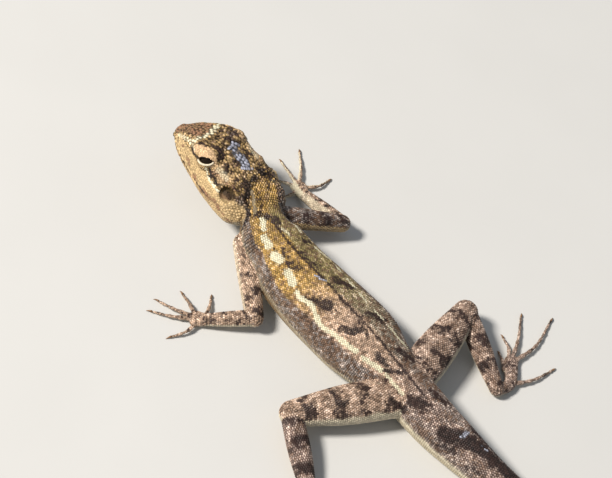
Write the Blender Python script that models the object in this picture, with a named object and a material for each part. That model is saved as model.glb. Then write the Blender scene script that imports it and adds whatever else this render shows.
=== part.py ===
# A South Indian rock agama, Psammophilus dorsalis: a life-size still model in a basking pose.
# The lizard faces -Y with its left side towards +X, and lies on a floor at z = 0.
# Lengths are in millimetres until the last step, which scales every mesh to metres.

import math

import bmesh
import bpy
import numpy as np
from mathutils import Matrix, Vector

METRES = 0.001
GAP = 0.3
FLOOR = 0.0

# Body line, nape to vent: x, y and z of the widest level, half width, rise above it, depth below it
BODY_LINE = (
    (-5.4, -46.0, 11.2, 4.6, 3.4, 3.8),
    (-2.2, -38.6, 10.9, 5.0, 4.5, 4.7),
    (-0.8, -35.4, 10.7, 4.9, 4.7, 4.8),
    (0.9, -32.2, 10.0, 5.8, 5.1, 5.1),
    (2.0, -28.3, 9.0, 7.7, 6.1, 5.6),
    (1.9, -23.5, 7.9, 8.6, 6.9, 6.0),
    (2.0, -17.0, 6.9, 9.6, 7.4, 6.4),
    (1.3, -10.5, 6.3, 10.3, 7.5, 6.6),
    (0.1, -1.2, 6.1, 10.8, 7.3, 6.5),
    (-0.8, 6.5, 6.0, 10.7, 7.0, 6.3),
    (-1.1, 12.5, 5.8, 9.1, 6.6, 6.0),
    (-1.6, 17.5, 5.7, 7.4, 6.3, 5.9),
    (-1.9, 22.0, 5.7, 6.7, 6.2, 5.9),
    (-2.0, 27.0, 5.6, 6.3, 6.1, 5.8),
)
BODY_SQUARENESS = 0.9

# Tail line, root to tip: x, y and radius
TAIL_LINE = (
    (-2.1, 33.0, 6.0),
    (-3.0, 39.4, 5.6),
    (-4.0, 45.0, 5.1),
    (-5.6, 52.0, 4.4),
    (-12.0, 72.0, 3.4),
    (-25.0, 102.0, 2.4),
    (-36.0, 136.0, 1.6),
    (-37.0, 168.0, 1.0),
    (-30.0, 196.0, 0.4),
)
TAIL_SETTLE = 0.94

# The muscle behind the skull, in the head frame and then the whole frame: places, then half width,
# rise and depth at each
NAPE_FRONT, NAPE_END = ((-23.5, 0.0, -1.2), (-28.0, 0.2, -1.8)), (-0.9, -35.6, 10.4)
NAPE_SIZES = ((8.6, 5.4, 4.6), (6.9, 4.7, 4.6), (5.0, 4.6, 4.7))

# Where the trunk and tail are parted, as places along Y
NECK_START, NECK_END = -44.0, -31.0
VENT = 25.5
TAIL_CUTS = (52.0, 102.0, 150.0)

# Head: its frame has x forward from the snout tip, y to the left and z up
SNOUT_TIP = (2.85, -65.0, 11.5)
HEAD_YAW, HEAD_PITCH, HEAD_ROLL = 11.0, -1.0, 6.0
# Head stations, snout to nape: distance back, level of the lips, half width, rise, depth, and how
# square the section is above that level and below it (1 is an ellipse, less is squarer)
HEAD_LINE = (
    (0.5, -0.6, 2.3, 2.8, 1.1, 0.80, 1.0),
    (2.5, -0.8, 3.9, 4.4, 2.0, 0.74, 0.85),
    (5.0, -0.9, 5.2, 5.9, 2.7, 0.70, 0.74),
    (8.0, -1.1, 6.5, 7.2, 3.3, 0.68, 0.72),
    (11.5, -1.3, 7.7, 7.9, 4.2, 0.68, 0.70),
    (15.0, -1.5, 8.8, 7.5, 5.1, 0.72, 0.70),
    (18.5, -1.7, 9.5, 7.0, 5.6, 0.76, 0.70),
    (22.0, -1.9, 10.0, 6.2, 5.9, 0.78, 0.70),
    (25.0, -2.0, 9.7, 4.8, 5.9, 0.84, 0.74),
    (27.3, -2.1, 8.2, 4.2, 5.6, 0.90, 0.80),
)

# Eyes, lids, ears and nostrils in the head frame, for the left side; the right side mirrors them
EYE_CENTRE, EYE_RADIUS = (-13.0, 5.2, 4.1), 2.4
LID_THICKNESS = 0.55
LID_OPENING_CENTRE, LID_OPENING_SIZE = (-13.3, 7.5, 5.7), (2.0, 1.3, 0.85)
EAR_CENTRE, EAR_SIZE = (-22.8, 8.8, 1.5), (1.5, 1.3, 1.7)
NOSTRIL_CENTRE, NOSTRIL_RADIUS = (-2.3, 3.0, 0.9), 0.42

# Line of the mouth, snout to its corner, then down behind the chin: distance back and height
MOUTH_LINE = ((-3.0, -1.2), (3.0, -1.25), (8.0, -1.6), (13.0, -2.0), (18.0, -2.3), (19.4, -3.4), (22.0, -9.0))

# The head is rounded off past its first and last stations
SNOUT_CAP, NAPE_CAP = 1.2, 3.4

# The block that parts the lower jaw: its half width, its lowest level and its front end
JAW_BLOCK_HALF, JAW_BLOCK_LOW, JAW_BLOCK_FRONT = 14.0, -12.0, 3.0

# The lips stand out along the line of the mouth
LIP_REACH, LIP_HEIGHT, LIP_BACK, LIP_ROWS = 1.0, 0.22, 19.0, 5

# Swellings on the head: centre, reach and height
HEAD_SWELLINGS = (
    ((-26.3, 7.6, -3.6), 3.0, 1.0),
    ((-3.4, 3.2, 3.4), 1.8, 0.5),
    ((-6.0, 4.6, 5.0), 2.0, 0.8),
    ((-8.6, 5.6, 6.0), 2.1, 1.2),
    ((-11.0, 6.2, 6.6), 2.2, 1.4),
    ((-13.4, 6.6, 6.4), 2.2, 1.3),
    ((-15.6, 6.9, 5.4), 2.0, 0.8),
    ((-12.7, 8.0, 3.2), 2.2, -0.7),
)

# Limb joints on the left and on the right
SHOULDER = {"left": (7.4, -30.8, 7.4), "right": (-4.2, -33.2, 8.2)}
ELBOW = {"left": (16.6, -13.6, 3.9), "right": (-20.6, -24.2, 4.6)}
WRIST = {"left": (26.2, -19.9, 2.1), "right": (-19.3, -37.0, 2.2)}
HIP = {"left": (2.6, 22.2, 6.0), "right": (-5.0, 21.2, 6.0)}
KNEE = {"left": (26.4, 12.4, 5.4), "right": (-30.3, 13.4, 6.2)}
ANKLE = {"left": (34.4, 30.2, 2.2), "right": (-24.6, 33.4, 2.2)}

# Half width and half height of each limb piece at its root, its middle and its end
UPPER_ARM = ((2.9, 2.8), (2.8, 2.6), (2.3, 2.3))
FOREARM = ((2.1, 2.1), (2.0, 2.0), (1.6, 1.5))
THIGH = ((5.2, 4.6), (4.9, 4.5), (3.2, 3.0))
SHANK = ((2.7, 2.6), (2.8, 2.6), (1.9, 1.9))

# Palms and soles: the heel and the far end of each, its half width and half height at the knuckles
PALM_HEEL = {"left": (27.2, -21.2), "right": (-19.8, -39.2)}
SOLE_HEEL = {"left": (37.6, 32.0), "right": (-28.2, 34.0)}
PALM_END = {"left": (28.0, -22.4), "right": (-20.4, -41.0)}
SOLE_END = {"left": (46.0, 33.6), "right": (-34.6, 28.9)}
PALM_SIZE, SOLE_SIZE = (2.3, 1.0), (1.9, 1.0)

# Half width, rise and depth of a hand or foot in the limb above it, then its height at the heel and
# the knuckles, its share of the width at the heel, and its half height there
PAW_ROOT_SIZE = (1.6, 1.5, 1.6)
PAW_HEEL_HEIGHT, PAW_END_HEIGHT = 1.5, 1.1
PAW_HEEL_SHARE, PAW_HEEL_RISE, PAW_HEEL_DEPTH, PAW_END_DEPTH = 0.85, 1.4, 1.6, 1.2

# Digits, inner to outer: x and y of the base, the middle and the tip
FINGERS = {
    "left": (
        ((25.2, -21.4), (22.8, -23.0), (20.4, -25.2)),
        ((27.4, -23.0), (26.6, -26.2), (26.0, -29.6)),
        ((28.4, -23.2), (30.6, -26.6), (32.4, -31.0)),
        ((29.0, -22.6), (32.2, -25.2), (35.6, -29.4)),
        ((28.6, -20.8), (32.0, -20.2), (35.8, -21.2)),
    ),
    "right": (
        ((-18.9, -39.2), (-16.0, -39.6), (-13.2, -40.6)),
        ((-19.4, -41.0), (-18.2, -43.0), (-16.9, -45.4)),
        ((-20.3, -41.6), (-20.9, -45.4), (-21.8, -49.4)),
        ((-21.2, -41.4), (-24.6, -44.8), (-28.2, -49.6)),
        ((-21.4, -39.4), (-25.2, -38.0), (-29.3, -38.4)),
    ),
}
TOES = {
    "left": (
        ((41.6, 31.4), (43.4, 28.6), (45.6, 26.6)),
        ((45.2, 32.2), (48.6, 30.2), (51.0, 27.4)),
        ((46.2, 33.4), (52.4, 33.4), (59.2, 32.0)),
        ((46.2, 34.4), (52.4, 37.6), (62.2, 40.0)),
        ((40.4, 35.2), (45.2, 39.8), (49.4, 45.4)),
    ),
    "right": (
        ((-30.9, 29.9), (-32.4, 27.6), (-33.5, 25.6)),
        ((-34.2, 28.2), (-36.4, 25.8), (-37.7, 22.6)),
        ((-35.2, 28.6), (-40.2, 25.4), (-46.4, 20.4)),
        ((-35.4, 29.6), (-42.4, 29.3), (-52.7, 25.5)),
        ((-29.6, 34.2), (-35.6, 36.2), (-42.6, 36.6)),
    ),
}
DIGIT_RADII = (0.76, 0.56, 0.4)
DIGIT_ARCH = (1.3, 1.15, 0.42)
CLAW_LENGTH, CLAW_HEIGHT, CLAW_RADIUS, CLAW_TIP = 1.3, 0.64, 0.34, 0.12

SIDES_BODY, SIDES_HEAD, SIDES_LIMB, SIDES_DIGIT = 28, 32, 16, 8
SIDES_TAIL = (28, 20, 14, 10)
SIDES_EYE, SIDES_LIDS, SIDES_SOCKET, SIDES_HOLLOW, SIDES_NOSTRIL = 20, 22, 18, 14, 10
STEP_BODY, STEP_HEAD, STEP_LIMB, STEP_DIGIT = 2.6, 1.2, 2.0, 1.8
CAP_RINGS = 3
SPLINE_PROBE = 0.01
SLIVER = 0.004


def spline(rows, step, start=None, end=None):
    """Rows of numbers opening with x, y and z, read along a smooth curve about every step millimetres.
    start and end, where given, are places along Y between which the curve is read. Each row read
    closes with the curve's direction."""
    rows = np.array(rows, dtype=float)
    knots = np.r_[0.0, np.cumsum(np.linalg.norm(np.diff(rows[:, :3], axis=0), axis=1))]
    slopes = np.gradient(rows, knots, axis=0)

    def read(places):
        cell = np.clip(np.searchsorted(knots, places, side="right") - 1, 0, len(knots) - 2)
        length = (knots[cell + 1] - knots[cell])[:, None]
        t = (places - knots[cell])[:, None] / length
        return (rows[cell] * (2 * t**3 - 3 * t**2 + 1) + rows[cell + 1] * (3 * t**2 - 2 * t**3)
                + slopes[cell] * length * (t**3 - 2 * t**2 + t) + slopes[cell + 1] * length * (t**3 - t**2))

    first, last = 0.0, knots[-1]
    if start is not None or end is not None:
        fine = np.linspace(0.0, knots[-1], 2000)
        along = read(fine)[:, 1]
        first = first if start is None else float(np.interp(start, along, fine))
        last = last if end is None else float(np.interp(end, along, fine))
    places = np.linspace(first, last, max(3, round((last - first) / step) + 1))
    ahead = np.minimum(places + SPLINE_PROBE, knots[-1])
    behind = np.maximum(places - SPLINE_PROBE, 0.0)
    directions = read(ahead)[:, :3] - read(behind)[:, :3]
    directions /= np.linalg.norm(directions, axis=1)[:, None]
    return np.hstack([read(places), directions])


def rings_of(rows, grow, round_start, round_end):
    """Ring centres, tangents and sizes of a limb or trunk, with rings added for its round ends."""
    centres, sizes = rows[:, :3].copy(), rows[:, 3:6] + grow
    tangents = rows[:, -3:]
    turns = [math.pi / 2 * (k + 0.5) / CAP_RINGS for k in range(CAP_RINGS)]
    if round_end:
        reach = min(sizes[-1])
        for turn in turns:
            centres = np.vstack([centres, rows[-1, :3] + tangents[-1] * reach * math.sin(turn)])
            sizes = np.vstack([sizes, (rows[-1, 3:6] + grow) * math.cos(turn)])
    if round_start:
        reach = min(sizes[0])
        for turn in turns:
            centres = np.vstack([rows[0, :3] - tangents[0] * reach * math.sin(turn), centres])
            sizes = np.vstack([(rows[0, 3:6] + grow) * math.cos(turn), sizes])
    extra_start = CAP_RINGS if round_start else 0
    extra_end = CAP_RINGS if round_end else 0
    tangents = np.vstack([tangents[:1]] * extra_start + [tangents] + [tangents[-1:]] * extra_end)
    return centres, tangents, sizes


def loft(name, rows, sides, squareness=1.0, grow=0.0, round_start=False, round_end=False, floor=FLOOR):
    """A closed body through elliptical rings: a sphere whose rings are set along the rows."""
    centres, tangents, sizes = rings_of(rows, grow, round_start, round_end)
    if grow and not round_start:
        centres[0] -= tangents[0] * grow
    if grow and not round_end:
        centres[-1] += tangents[-1] * grow
    count = len(centres)
    ends = [centres[0], centres[-1]]
    if round_start:
        ends[0] = rows[0, :3] - tangents[0] * (min(rows[0, 3:6]) + grow)
    if round_end:
        ends[1] = rows[-1, :3] + tangents[-1] * (min(rows[-1, 3:6]) + grow)
    bm = bmesh.new()
    bmesh.ops.create_uvsphere(bm, u_segments=sides, v_segments=count + 1, radius=1.0)
    for vert in bm.verts:
        height = max(-1.0, min(1.0, vert.co.z))
        ring = round(math.acos(height) / math.pi * (count + 1)) - 1
        if ring < 0 or ring >= count:
            place = ends[0] if ring < 0 else ends[1]
        else:
            turn = math.atan2(vert.co.y, vert.co.x)
            across = math.copysign(abs(math.cos(turn)) ** squareness, math.cos(turn))
            up = math.copysign(abs(math.sin(turn)) ** squareness, math.sin(turn))
            side = np.cross(tangents[ring], (0.0, 0.0, 1.0))
            side /= np.linalg.norm(side)
            rise = np.cross(side, tangents[ring])
            half_width, above, below = sizes[ring]
            place = centres[ring] + side * half_width * across + rise * up * (above if up > 0 else below)
        vert.co = Vector(place)
        if floor is not None:
            vert.co.z = max(vert.co.z, floor)
    return closed_object(name, bm)


def closed_object(name, bm):
    """An object from a closed bmesh, its faces turned outward."""
    if bm.calc_volume(signed=True) < 0.0:
        bmesh.ops.reverse_faces(bm, faces=bm.faces)
    mesh = bpy.data.meshes.new(name)
    bm.to_mesh(mesh)
    bm.free()
    obj = bpy.data.objects.new(name, mesh)
    bpy.context.scene.collection.objects.link(obj)
    return obj


def ellipsoid(name, centre, radii, segments):
    """A ball or egg shape with its axes along the frame's."""
    bm = bmesh.new()
    bmesh.ops.create_uvsphere(bm, u_segments=segments, v_segments=segments // 2, radius=1.0)
    for vert in bm.verts:
        vert.co = Vector(centre) + Vector(a * b for a, b in zip(vert.co, radii))
    return closed_object(name, bm)


def combine(target, others, operation, solver="EXACT"):
    """Applies one Boolean of a collection of closed bodies to the target, then removes them."""
    group = bpy.data.collections.new("operands")
    for other in others:
        group.objects.link(other)
    modifier = target.modifiers.new("combine", "BOOLEAN")
    modifier.operation = operation
    modifier.operand_type = "COLLECTION"
    modifier.collection = group
    modifier.solver = solver
    evaluated = target.evaluated_get(bpy.context.evaluated_depsgraph_get())
    mesh = bpy.data.meshes.new_from_object(evaluated)
    target.modifiers.clear()
    target.data = mesh
    for other in others:
        bpy.data.objects.remove(other)
    bpy.data.collections.remove(group)
    keep_largest(target)


def keep_largest(obj):
    """Keeps only the largest closed surface of a body."""
    bm = bmesh.new()
    bm.from_mesh(obj.data)
    bmesh.ops.dissolve_degenerate(bm, edges=bm.edges, dist=SLIVER)
    left = set(bm.faces)
    shells = []
    while left:
        stack = [left.pop()]
        shell = []
        while stack:
            face = stack.pop()
            shell.append(face)
            for edge in face.edges:
                for other in edge.link_faces:
                    if other in left:
                        left.remove(other)
                        stack.append(other)
        shells.append(shell)
    shells.sort(key=lambda shell: sum(face.calc_area() for face in shell))
    loose = [face for shell in shells[:-1] for face in shell]
    bmesh.ops.delete(bm, geom=loose, context="FACES")
    bm.to_mesh(obj.data)
    bm.free()


def settle(obj):
    """Presses what hangs below the floor up to it, which leaves flats at one level."""
    for vert in obj.data.vertices:
        vert.co.z = max(vert.co.z, FLOOR)


def finish(obj, colour, roughness):
    """Gives a node its material, scales it to metres and shades it smooth."""
    material = bpy.data.materials.new(obj.name)
    material.use_nodes = True
    shader = material.node_tree.nodes["Principled BSDF"]
    shader.inputs["Base Color"].default_value = (*colour, 1.0)
    shader.inputs["Roughness"].default_value = roughness
    shader.inputs["Metallic"].default_value = 0.0
    obj.data.materials.clear()
    obj.data.materials.append(material)
    obj.data.transform(Matrix.Scale(METRES, 4))
    obj.data.shade_smooth()
    obj.data.set_sharp_from_angle(angle=math.radians(SMOOTH_ANGLE))


# Skin colours
OCHRE, TAN, UMBER = (0.42, 0.27, 0.11), (0.44, 0.30, 0.21), (0.20, 0.12, 0.08)
EYE_BLACK = (0.02, 0.015, 0.012)
SKIN_ROUGHNESS, EYE_ROUGHNESS = 0.6, 0.12
SMOOTH_ANGLE = 50.0


def body_rows(start, end):
    """Stations of the trunk and tail between two places along Y."""
    tail = [(x, y, radius * TAIL_SETTLE, radius, radius, radius) for x, y, radius in TAIL_LINE]
    return spline(BODY_LINE + tuple(tail), STEP_BODY, start, end)


def body_cutter(grow=GAP):
    """The neck, trunk and tail root in one piece, larger by the gap, to cut what grows from them."""
    rows = body_rows(NECK_START, TAIL_CUTS[0])
    return loft("body_cutter", rows, SIDES_BODY, BODY_SQUARENESS, grow=grow, floor=None)


def head_frame():
    """Turn and place of the head frame."""
    yaw, pitch, roll = (math.radians(angle) for angle in (HEAD_YAW, HEAD_PITCH, HEAD_ROLL))
    forward = Vector((math.sin(yaw) * math.cos(pitch), -math.cos(yaw) * math.cos(pitch), math.sin(pitch)))
    level = Vector((math.cos(yaw), math.sin(yaw), 0.0))
    left = math.cos(roll) * level + math.sin(roll) * forward.cross(level)
    up = forward.cross(left)
    turn = Matrix((forward, left, up)).transposed()
    return turn, Vector(SNOUT_TIP)


def head_shape(name, grow=0.0):
    """The whole head, lower jaw included, in its own frame."""
    rows = [(-back, 0.0, *sizes) for back, *sizes in HEAD_LINE]
    rows = spline(rows, STEP_HEAD)
    count = len(rows)
    sizes = rows[:, 3:6] + grow
    caps = [math.pi / 2 * (k + 0.5) / CAP_RINGS for k in range(CAP_RINGS)]
    front = [(rows[0, 0] + (SNOUT_CAP + grow) * math.sin(turn), rows[0, 2], sizes[0] * math.cos(turn), rows[0, 6:8])
             for turn in reversed(caps)]
    back = [(rows[-1, 0] - (NAPE_CAP + grow) * math.sin(turn), rows[-1, 2], sizes[-1] * math.cos(turn), rows[-1, 6:8])
            for turn in caps]
    middle = [(rows[k, 0], rows[k, 2], sizes[k], rows[k, 6:8]) for k in range(count)]
    rings = front + middle + back
    bm = bmesh.new()
    bmesh.ops.create_uvsphere(bm, u_segments=SIDES_HEAD, v_segments=len(rings) + 1, radius=1.0)
    for vert in bm.verts:
        ring = round(math.acos(max(-1.0, min(1.0, vert.co.z))) / math.pi * (len(rings) + 1)) - 1
        if ring < 0:
            vert.co = Vector((rows[0, 0] + SNOUT_CAP + grow, 0.0, rows[0, 2]))
            continue
        if ring >= len(rings):
            vert.co = Vector((rows[-1, 0] - NAPE_CAP - grow, 0.0, rows[-1, 2]))
            continue
        along, level, (half, rise, depth), (square_above, square_below) = rings[ring]
        turn = math.atan2(vert.co.y, vert.co.x)
        square = square_above if turn > 0.0 else square_below
        across = math.copysign(abs(math.cos(turn)) ** square, math.cos(turn))
        up = math.copysign(abs(math.sin(turn)) ** square, math.sin(turn))
        place = Vector((along, half * across, level + up * (rise if up > 0 else depth)))
        outward = Vector((0.0, place.y, place.z - level)).normalized()
        if -place.x < LIP_BACK:
            away = place.z - float(np.interp(-place.x, *zip(*MOUTH_LINE[:LIP_ROWS])))
            place = place + outward * LIP_HEIGHT * math.exp(-(away / LIP_REACH) ** 2)
        for centre, reach, height in HEAD_SWELLINGS:
            away = place - Vector((centre[0], math.copysign(centre[1], place.y), centre[2]))
            place = place + outward * height * math.exp(-(away.length / reach) ** 2)
        vert.co = place
    return closed_object(name, bm)


def mirrored(point, side):
    return (point[0], point[1] * side, point[2])


def jaw_block(name, shift):
    """A wide block under the line of the mouth, its edge moved outward by shift."""
    line = [Vector((-back, 0.0, height + shift)) for back, height in MOUTH_LINE]
    for point in line[-2:]:
        point.x -= shift
    line[-1].z = JAW_BLOCK_LOW
    outline = line + [Vector((JAW_BLOCK_FRONT, 0.0, JAW_BLOCK_LOW))]
    bm = bmesh.new()
    verts = [bm.verts.new(point - Vector((0.0, JAW_BLOCK_HALF, 0.0))) for point in outline]
    face = bm.faces.new(verts)
    result = bmesh.ops.extrude_face_region(bm, geom=[face])
    moved = [item for item in result["geom"] if isinstance(item, bmesh.types.BMVert)]
    bmesh.ops.translate(bm, verts=moved, vec=(0.0, 2 * JAW_BLOCK_HALF, 0.0))
    return closed_object(name, bm)


def make_head():
    turn, origin = head_frame()
    head = head_shape("head")
    jaw = head_shape("lower_jaw")
    lids = [ellipsoid("lids", mirrored(EYE_CENTRE, side), (EYE_RADIUS + GAP + LID_THICKNESS,) * 3, SIDES_LIDS)
            for side in (1, -1)]
    combine(head, lids, "UNION")
    hollows = [jaw_block("mouth", GAP / 2)]
    for side in (1, -1):
        hollows.append(ellipsoid("socket", mirrored(EYE_CENTRE, side), (EYE_RADIUS + GAP,) * 3, SIDES_SOCKET))
        opening = mirrored(LID_OPENING_CENTRE, side)
        hollows.append(ellipsoid("opening", opening, LID_OPENING_SIZE, SIDES_HOLLOW))
        hollows.append(ellipsoid("ear", mirrored(EAR_CENTRE, side), EAR_SIZE, SIDES_HOLLOW))
        nostril = mirrored(NOSTRIL_CENTRE, side)
        hollows.append(ellipsoid("nostril", nostril, (NOSTRIL_RADIUS,) * 3, SIDES_NOSTRIL))
    combine(head, hollows, "DIFFERENCE")
    combine(jaw, [jaw_block("chin", -GAP / 2)], "INTERSECT")
    eyes = [ellipsoid(name, mirrored(EYE_CENTRE, side), (EYE_RADIUS,) * 3, SIDES_EYE)
            for name, side in (("eye_left", 1), ("eye_right", -1))]
    for obj in [head, jaw] + eyes:
        obj.data.transform(Matrix.Translation(origin) @ turn.to_4x4())
    finish(head, OCHRE, SKIN_ROUGHNESS)
    finish(jaw, OCHRE, SKIN_ROUGHNESS)
    for eye in eyes:
        finish(eye, EYE_BLACK, EYE_ROUGHNESS)


def head_cutter():
    turn, origin = head_frame()
    cutter = head_shape("head_cutter", GAP)
    cutter.data.transform(Matrix.Translation(origin) @ turn.to_4x4())
    return cutter


def nape_muscle(grow=0.0):
    """What fills the step down from the crown to the neck."""
    turn, origin = head_frame()
    places = [turn @ Vector(place) + origin for place in NAPE_FRONT] + [NAPE_END]
    rows = spline([(*place, *sizes) for place, sizes in zip(places, NAPE_SIZES)], STEP_LIMB)
    return loft("nape", rows, SIDES_BODY, BODY_SQUARENESS, grow=grow, round_start=True, floor=None)


def make_body():
    neck = loft("neck", body_rows(NECK_START, NECK_END - GAP / 2), SIDES_BODY, BODY_SQUARENESS)
    combine(neck, [nape_muscle()], "UNION")
    combine(neck, [head_cutter()], "DIFFERENCE")
    finish(neck, OCHRE, SKIN_ROUGHNESS)
    torso = loft("torso", body_rows(NECK_END + GAP / 2, VENT - GAP / 2), SIDES_BODY, BODY_SQUARENESS)
    finish(torso, OCHRE, SKIN_ROUGHNESS)
    names = ("tail_base", "tail_front", "tail_rear", "tail_tip")
    starts = (VENT,) + TAIL_CUTS
    ends = TAIL_CUTS + (None,)
    for name, start, end, count in zip(names, starts, ends, SIDES_TAIL):
        stop = None if end is None else end - GAP / 2
        tail = loft(name, body_rows(start + GAP / 2, stop), count, 1.0 if end is None else BODY_SQUARENESS,
                    round_end=end is None)
        finish(tail, TAN, SKIN_ROUGHNESS)


def limb_rows(start, end, sizes):
    """Stations of one limb piece between two joints."""
    start, end = np.array(start, dtype=float), np.array(end, dtype=float)
    places = (start, (start + end) / 2, end)
    rows = [(*place, width, height, height) for place, (width, height) in zip(places, sizes)]
    return spline(rows, STEP_LIMB)


def limb_piece(name, rows, grow=0.0):
    floor = FLOOR if grow == 0.0 else None
    return loft(name, rows, SIDES_LIMB, grow=grow, round_start=True, round_end=True, floor=floor)


def digit(points):
    """One finger or toe with its claw, from its base to the claw's point."""
    base, middle, tip = (np.array(point, dtype=float) for point in points)
    forward = (tip - middle) / np.linalg.norm(tip - middle)
    claw = tip + forward * CLAW_LENGTH * 0.5
    point = tip + forward * CLAW_LENGTH
    places = (base, middle, tip, claw, point)
    heights = DIGIT_ARCH + (CLAW_HEIGHT, CLAW_TIP)
    radii = DIGIT_RADII + (CLAW_RADIUS, CLAW_TIP)
    rows = [(x, y, height, radius, radius, radius)
            for (x, y), height, radius in zip(places, heights, radii)]
    return loft("digit", spline(rows, STEP_DIGIT), SIDES_DIGIT, round_start=True, floor=None)


def paw(name, ankle, heel, end, size, digits, limb):
    """A hand or foot: the palm or sole and its digits in one body, cut clear of the limb above it."""
    width, height = size
    rows = (
        (*ankle, *PAW_ROOT_SIZE),
        (*heel, PAW_HEEL_HEIGHT, width * PAW_HEEL_SHARE, PAW_HEEL_RISE, PAW_HEEL_DEPTH),
        (*end, PAW_END_HEIGHT, width, height, PAW_END_DEPTH),
    )
    obj = loft(name, spline(rows, STEP_LIMB), SIDES_LIMB, round_start=True, round_end=True, floor=None)
    combine(obj, [digit(points) for points in digits], "UNION", "MANIFOLD")
    combine(obj, [limb], "DIFFERENCE", "MANIFOLD")
    settle(obj)
    finish(obj, TAN, SKIN_ROUGHNESS)


def make_limbs():
    for side in ("left", "right"):
        chains = (
            ("upper_arm", "forearm", "hand", SHOULDER, ELBOW, WRIST, UPPER_ARM, FOREARM,
             PALM_HEEL, PALM_END, PALM_SIZE, FINGERS),
            ("thigh", "shank", "foot", HIP, KNEE, ANKLE, THIGH, SHANK,
             SOLE_HEEL, SOLE_END, SOLE_SIZE, TOES),
        )
        for upper_name, lower_name, paw_name, root, bend, end, upper, lower, heel, far, size, digits in chains:
            upper_rows = limb_rows(root[side], bend[side], upper)
            lower_rows = limb_rows(bend[side], end[side], lower)
            upper_piece = limb_piece(f"{upper_name}_{side}", upper_rows)
            combine(upper_piece, [body_cutter(), nape_muscle(GAP)], "DIFFERENCE")
            finish(upper_piece, TAN, SKIN_ROUGHNESS)
            lower_piece = limb_piece(f"{lower_name}_{side}", lower_rows)
            combine(lower_piece, [limb_piece("upper_cutter", upper_rows, GAP)], "DIFFERENCE")
            finish(lower_piece, TAN, SKIN_ROUGHNESS)
            paw(f"{paw_name}_{side}", end[side], heel[side], far[side], size, digits[side],
                limb_piece("lower_cutter", lower_rows, GAP))


for old in list(bpy.data.objects):
    bpy.data.objects.remove(old)
make_head()
make_body()
make_limbs()
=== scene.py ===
import math

import bmesh
import bpy
import numpy as np
from mathutils import Matrix, Vector, noise
from mathutils.bvhtree import BVHTree
from mathutils.kdtree import KDTree


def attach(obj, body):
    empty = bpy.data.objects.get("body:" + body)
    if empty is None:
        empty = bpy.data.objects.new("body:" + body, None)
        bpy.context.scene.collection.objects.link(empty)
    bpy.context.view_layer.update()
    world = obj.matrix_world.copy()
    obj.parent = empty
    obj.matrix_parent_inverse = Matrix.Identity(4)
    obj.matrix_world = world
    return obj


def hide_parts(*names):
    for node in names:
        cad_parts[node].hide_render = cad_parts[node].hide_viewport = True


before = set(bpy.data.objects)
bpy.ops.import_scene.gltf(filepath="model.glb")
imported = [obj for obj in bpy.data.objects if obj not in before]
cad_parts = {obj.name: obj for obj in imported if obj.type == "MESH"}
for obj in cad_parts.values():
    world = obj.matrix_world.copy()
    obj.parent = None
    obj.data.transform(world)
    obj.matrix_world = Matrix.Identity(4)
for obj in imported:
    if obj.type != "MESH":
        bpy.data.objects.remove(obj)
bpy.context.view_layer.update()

# The neck, trunk and tail are one long taper of muscle over the backbone, flattened where the belly
# lies on the floor. It is drawn out through oval rings along a smooth line from the nape to the
# tail's tip. All lengths are in millimetres until a piece is finished.
MM = 0.001
SCALE_DEPTH, LEAST_SIZE, CAP_RINGS = 0.16, 0.12, 6

# Nape to vent: x, y and z of the widest level, half width, rise above it, depth below it
BODY_LINE = (
    (-5.4, -46.0, 11.2, 4.6, 3.4, 3.8),
    (-2.2, -38.6, 10.9, 5.0, 4.5, 4.7),
    (-0.8, -35.4, 10.7, 4.9, 4.7, 4.8),
    (0.9, -32.2, 10.0, 5.8, 5.1, 5.1),
    (2.0, -28.3, 9.0, 7.7, 6.1, 5.6),
    (1.9, -23.5, 7.9, 8.6, 6.9, 6.0),
    (2.0, -17.0, 6.9, 9.6, 7.4, 6.4),
    (1.3, -10.5, 6.3, 10.3, 7.5, 6.6),
    (0.1, -1.2, 6.1, 10.8, 7.3, 6.5),
    (-0.8, 6.5, 6.0, 10.7, 7.0, 6.3),
    (-1.1, 12.5, 5.8, 9.1, 6.6, 6.0),
    (-1.6, 17.5, 5.7, 7.4, 6.3, 5.9),
    (-1.9, 22.0, 5.7, 6.7, 6.2, 5.9),
    (-2.0, 27.0, 5.6, 6.3, 6.1, 5.8),
)
BODY_SQUARENESS, BODY_SIDES, BODY_STEP = 0.9, 72, 0.8

# Tail, root to tip: x, y and radius
TAIL_LINE = (
    (-2.1, 33.0, 6.0),
    (-3.0, 39.4, 5.6),
    (-4.0, 45.0, 5.1),
    (-5.6, 52.0, 4.4),
    (-12.0, 72.0, 3.4),
    (-25.0, 102.0, 2.4),
    (-36.0, 136.0, 1.6),
    (-37.0, 168.0, 1.0),
    (-30.0, 196.0, 0.4),
)
TAIL_SETTLE = 0.94
PROBE = 0.01


def read_line(rows, step):
    """Rows opening with x, y and z, read along a smooth curve every step or so. Each row read closes
    with the curve's direction."""
    rows = np.array(rows, dtype=float)
    knots = np.r_[0.0, np.cumsum(np.linalg.norm(np.diff(rows[:, :3], axis=0), axis=1))]
    slopes = np.gradient(rows, knots, axis=0)

    def read(places):
        cell = np.clip(np.searchsorted(knots, places, side="right") - 1, 0, len(knots) - 2)
        length = (knots[cell + 1] - knots[cell])[:, None]
        t = (places - knots[cell])[:, None] / length
        return (rows[cell] * (2 * t**3 - 3 * t**2 + 1) + rows[cell + 1] * (3 * t**2 - 2 * t**3)
                + slopes[cell] * length * (t**3 - 2 * t**2 + t) + slopes[cell + 1] * length * (t**3 - t**2))

    places = np.linspace(0.0, knots[-1], max(3, round(knots[-1] / step) + 1))
    ahead, behind = np.minimum(places + PROBE, knots[-1]), np.maximum(places - PROBE, 0.0)
    directions = read(ahead)[:, :3] - read(behind)[:, :3]
    directions /= np.linalg.norm(directions, axis=1)[:, None]
    return np.hstack([read(places), directions])


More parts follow.
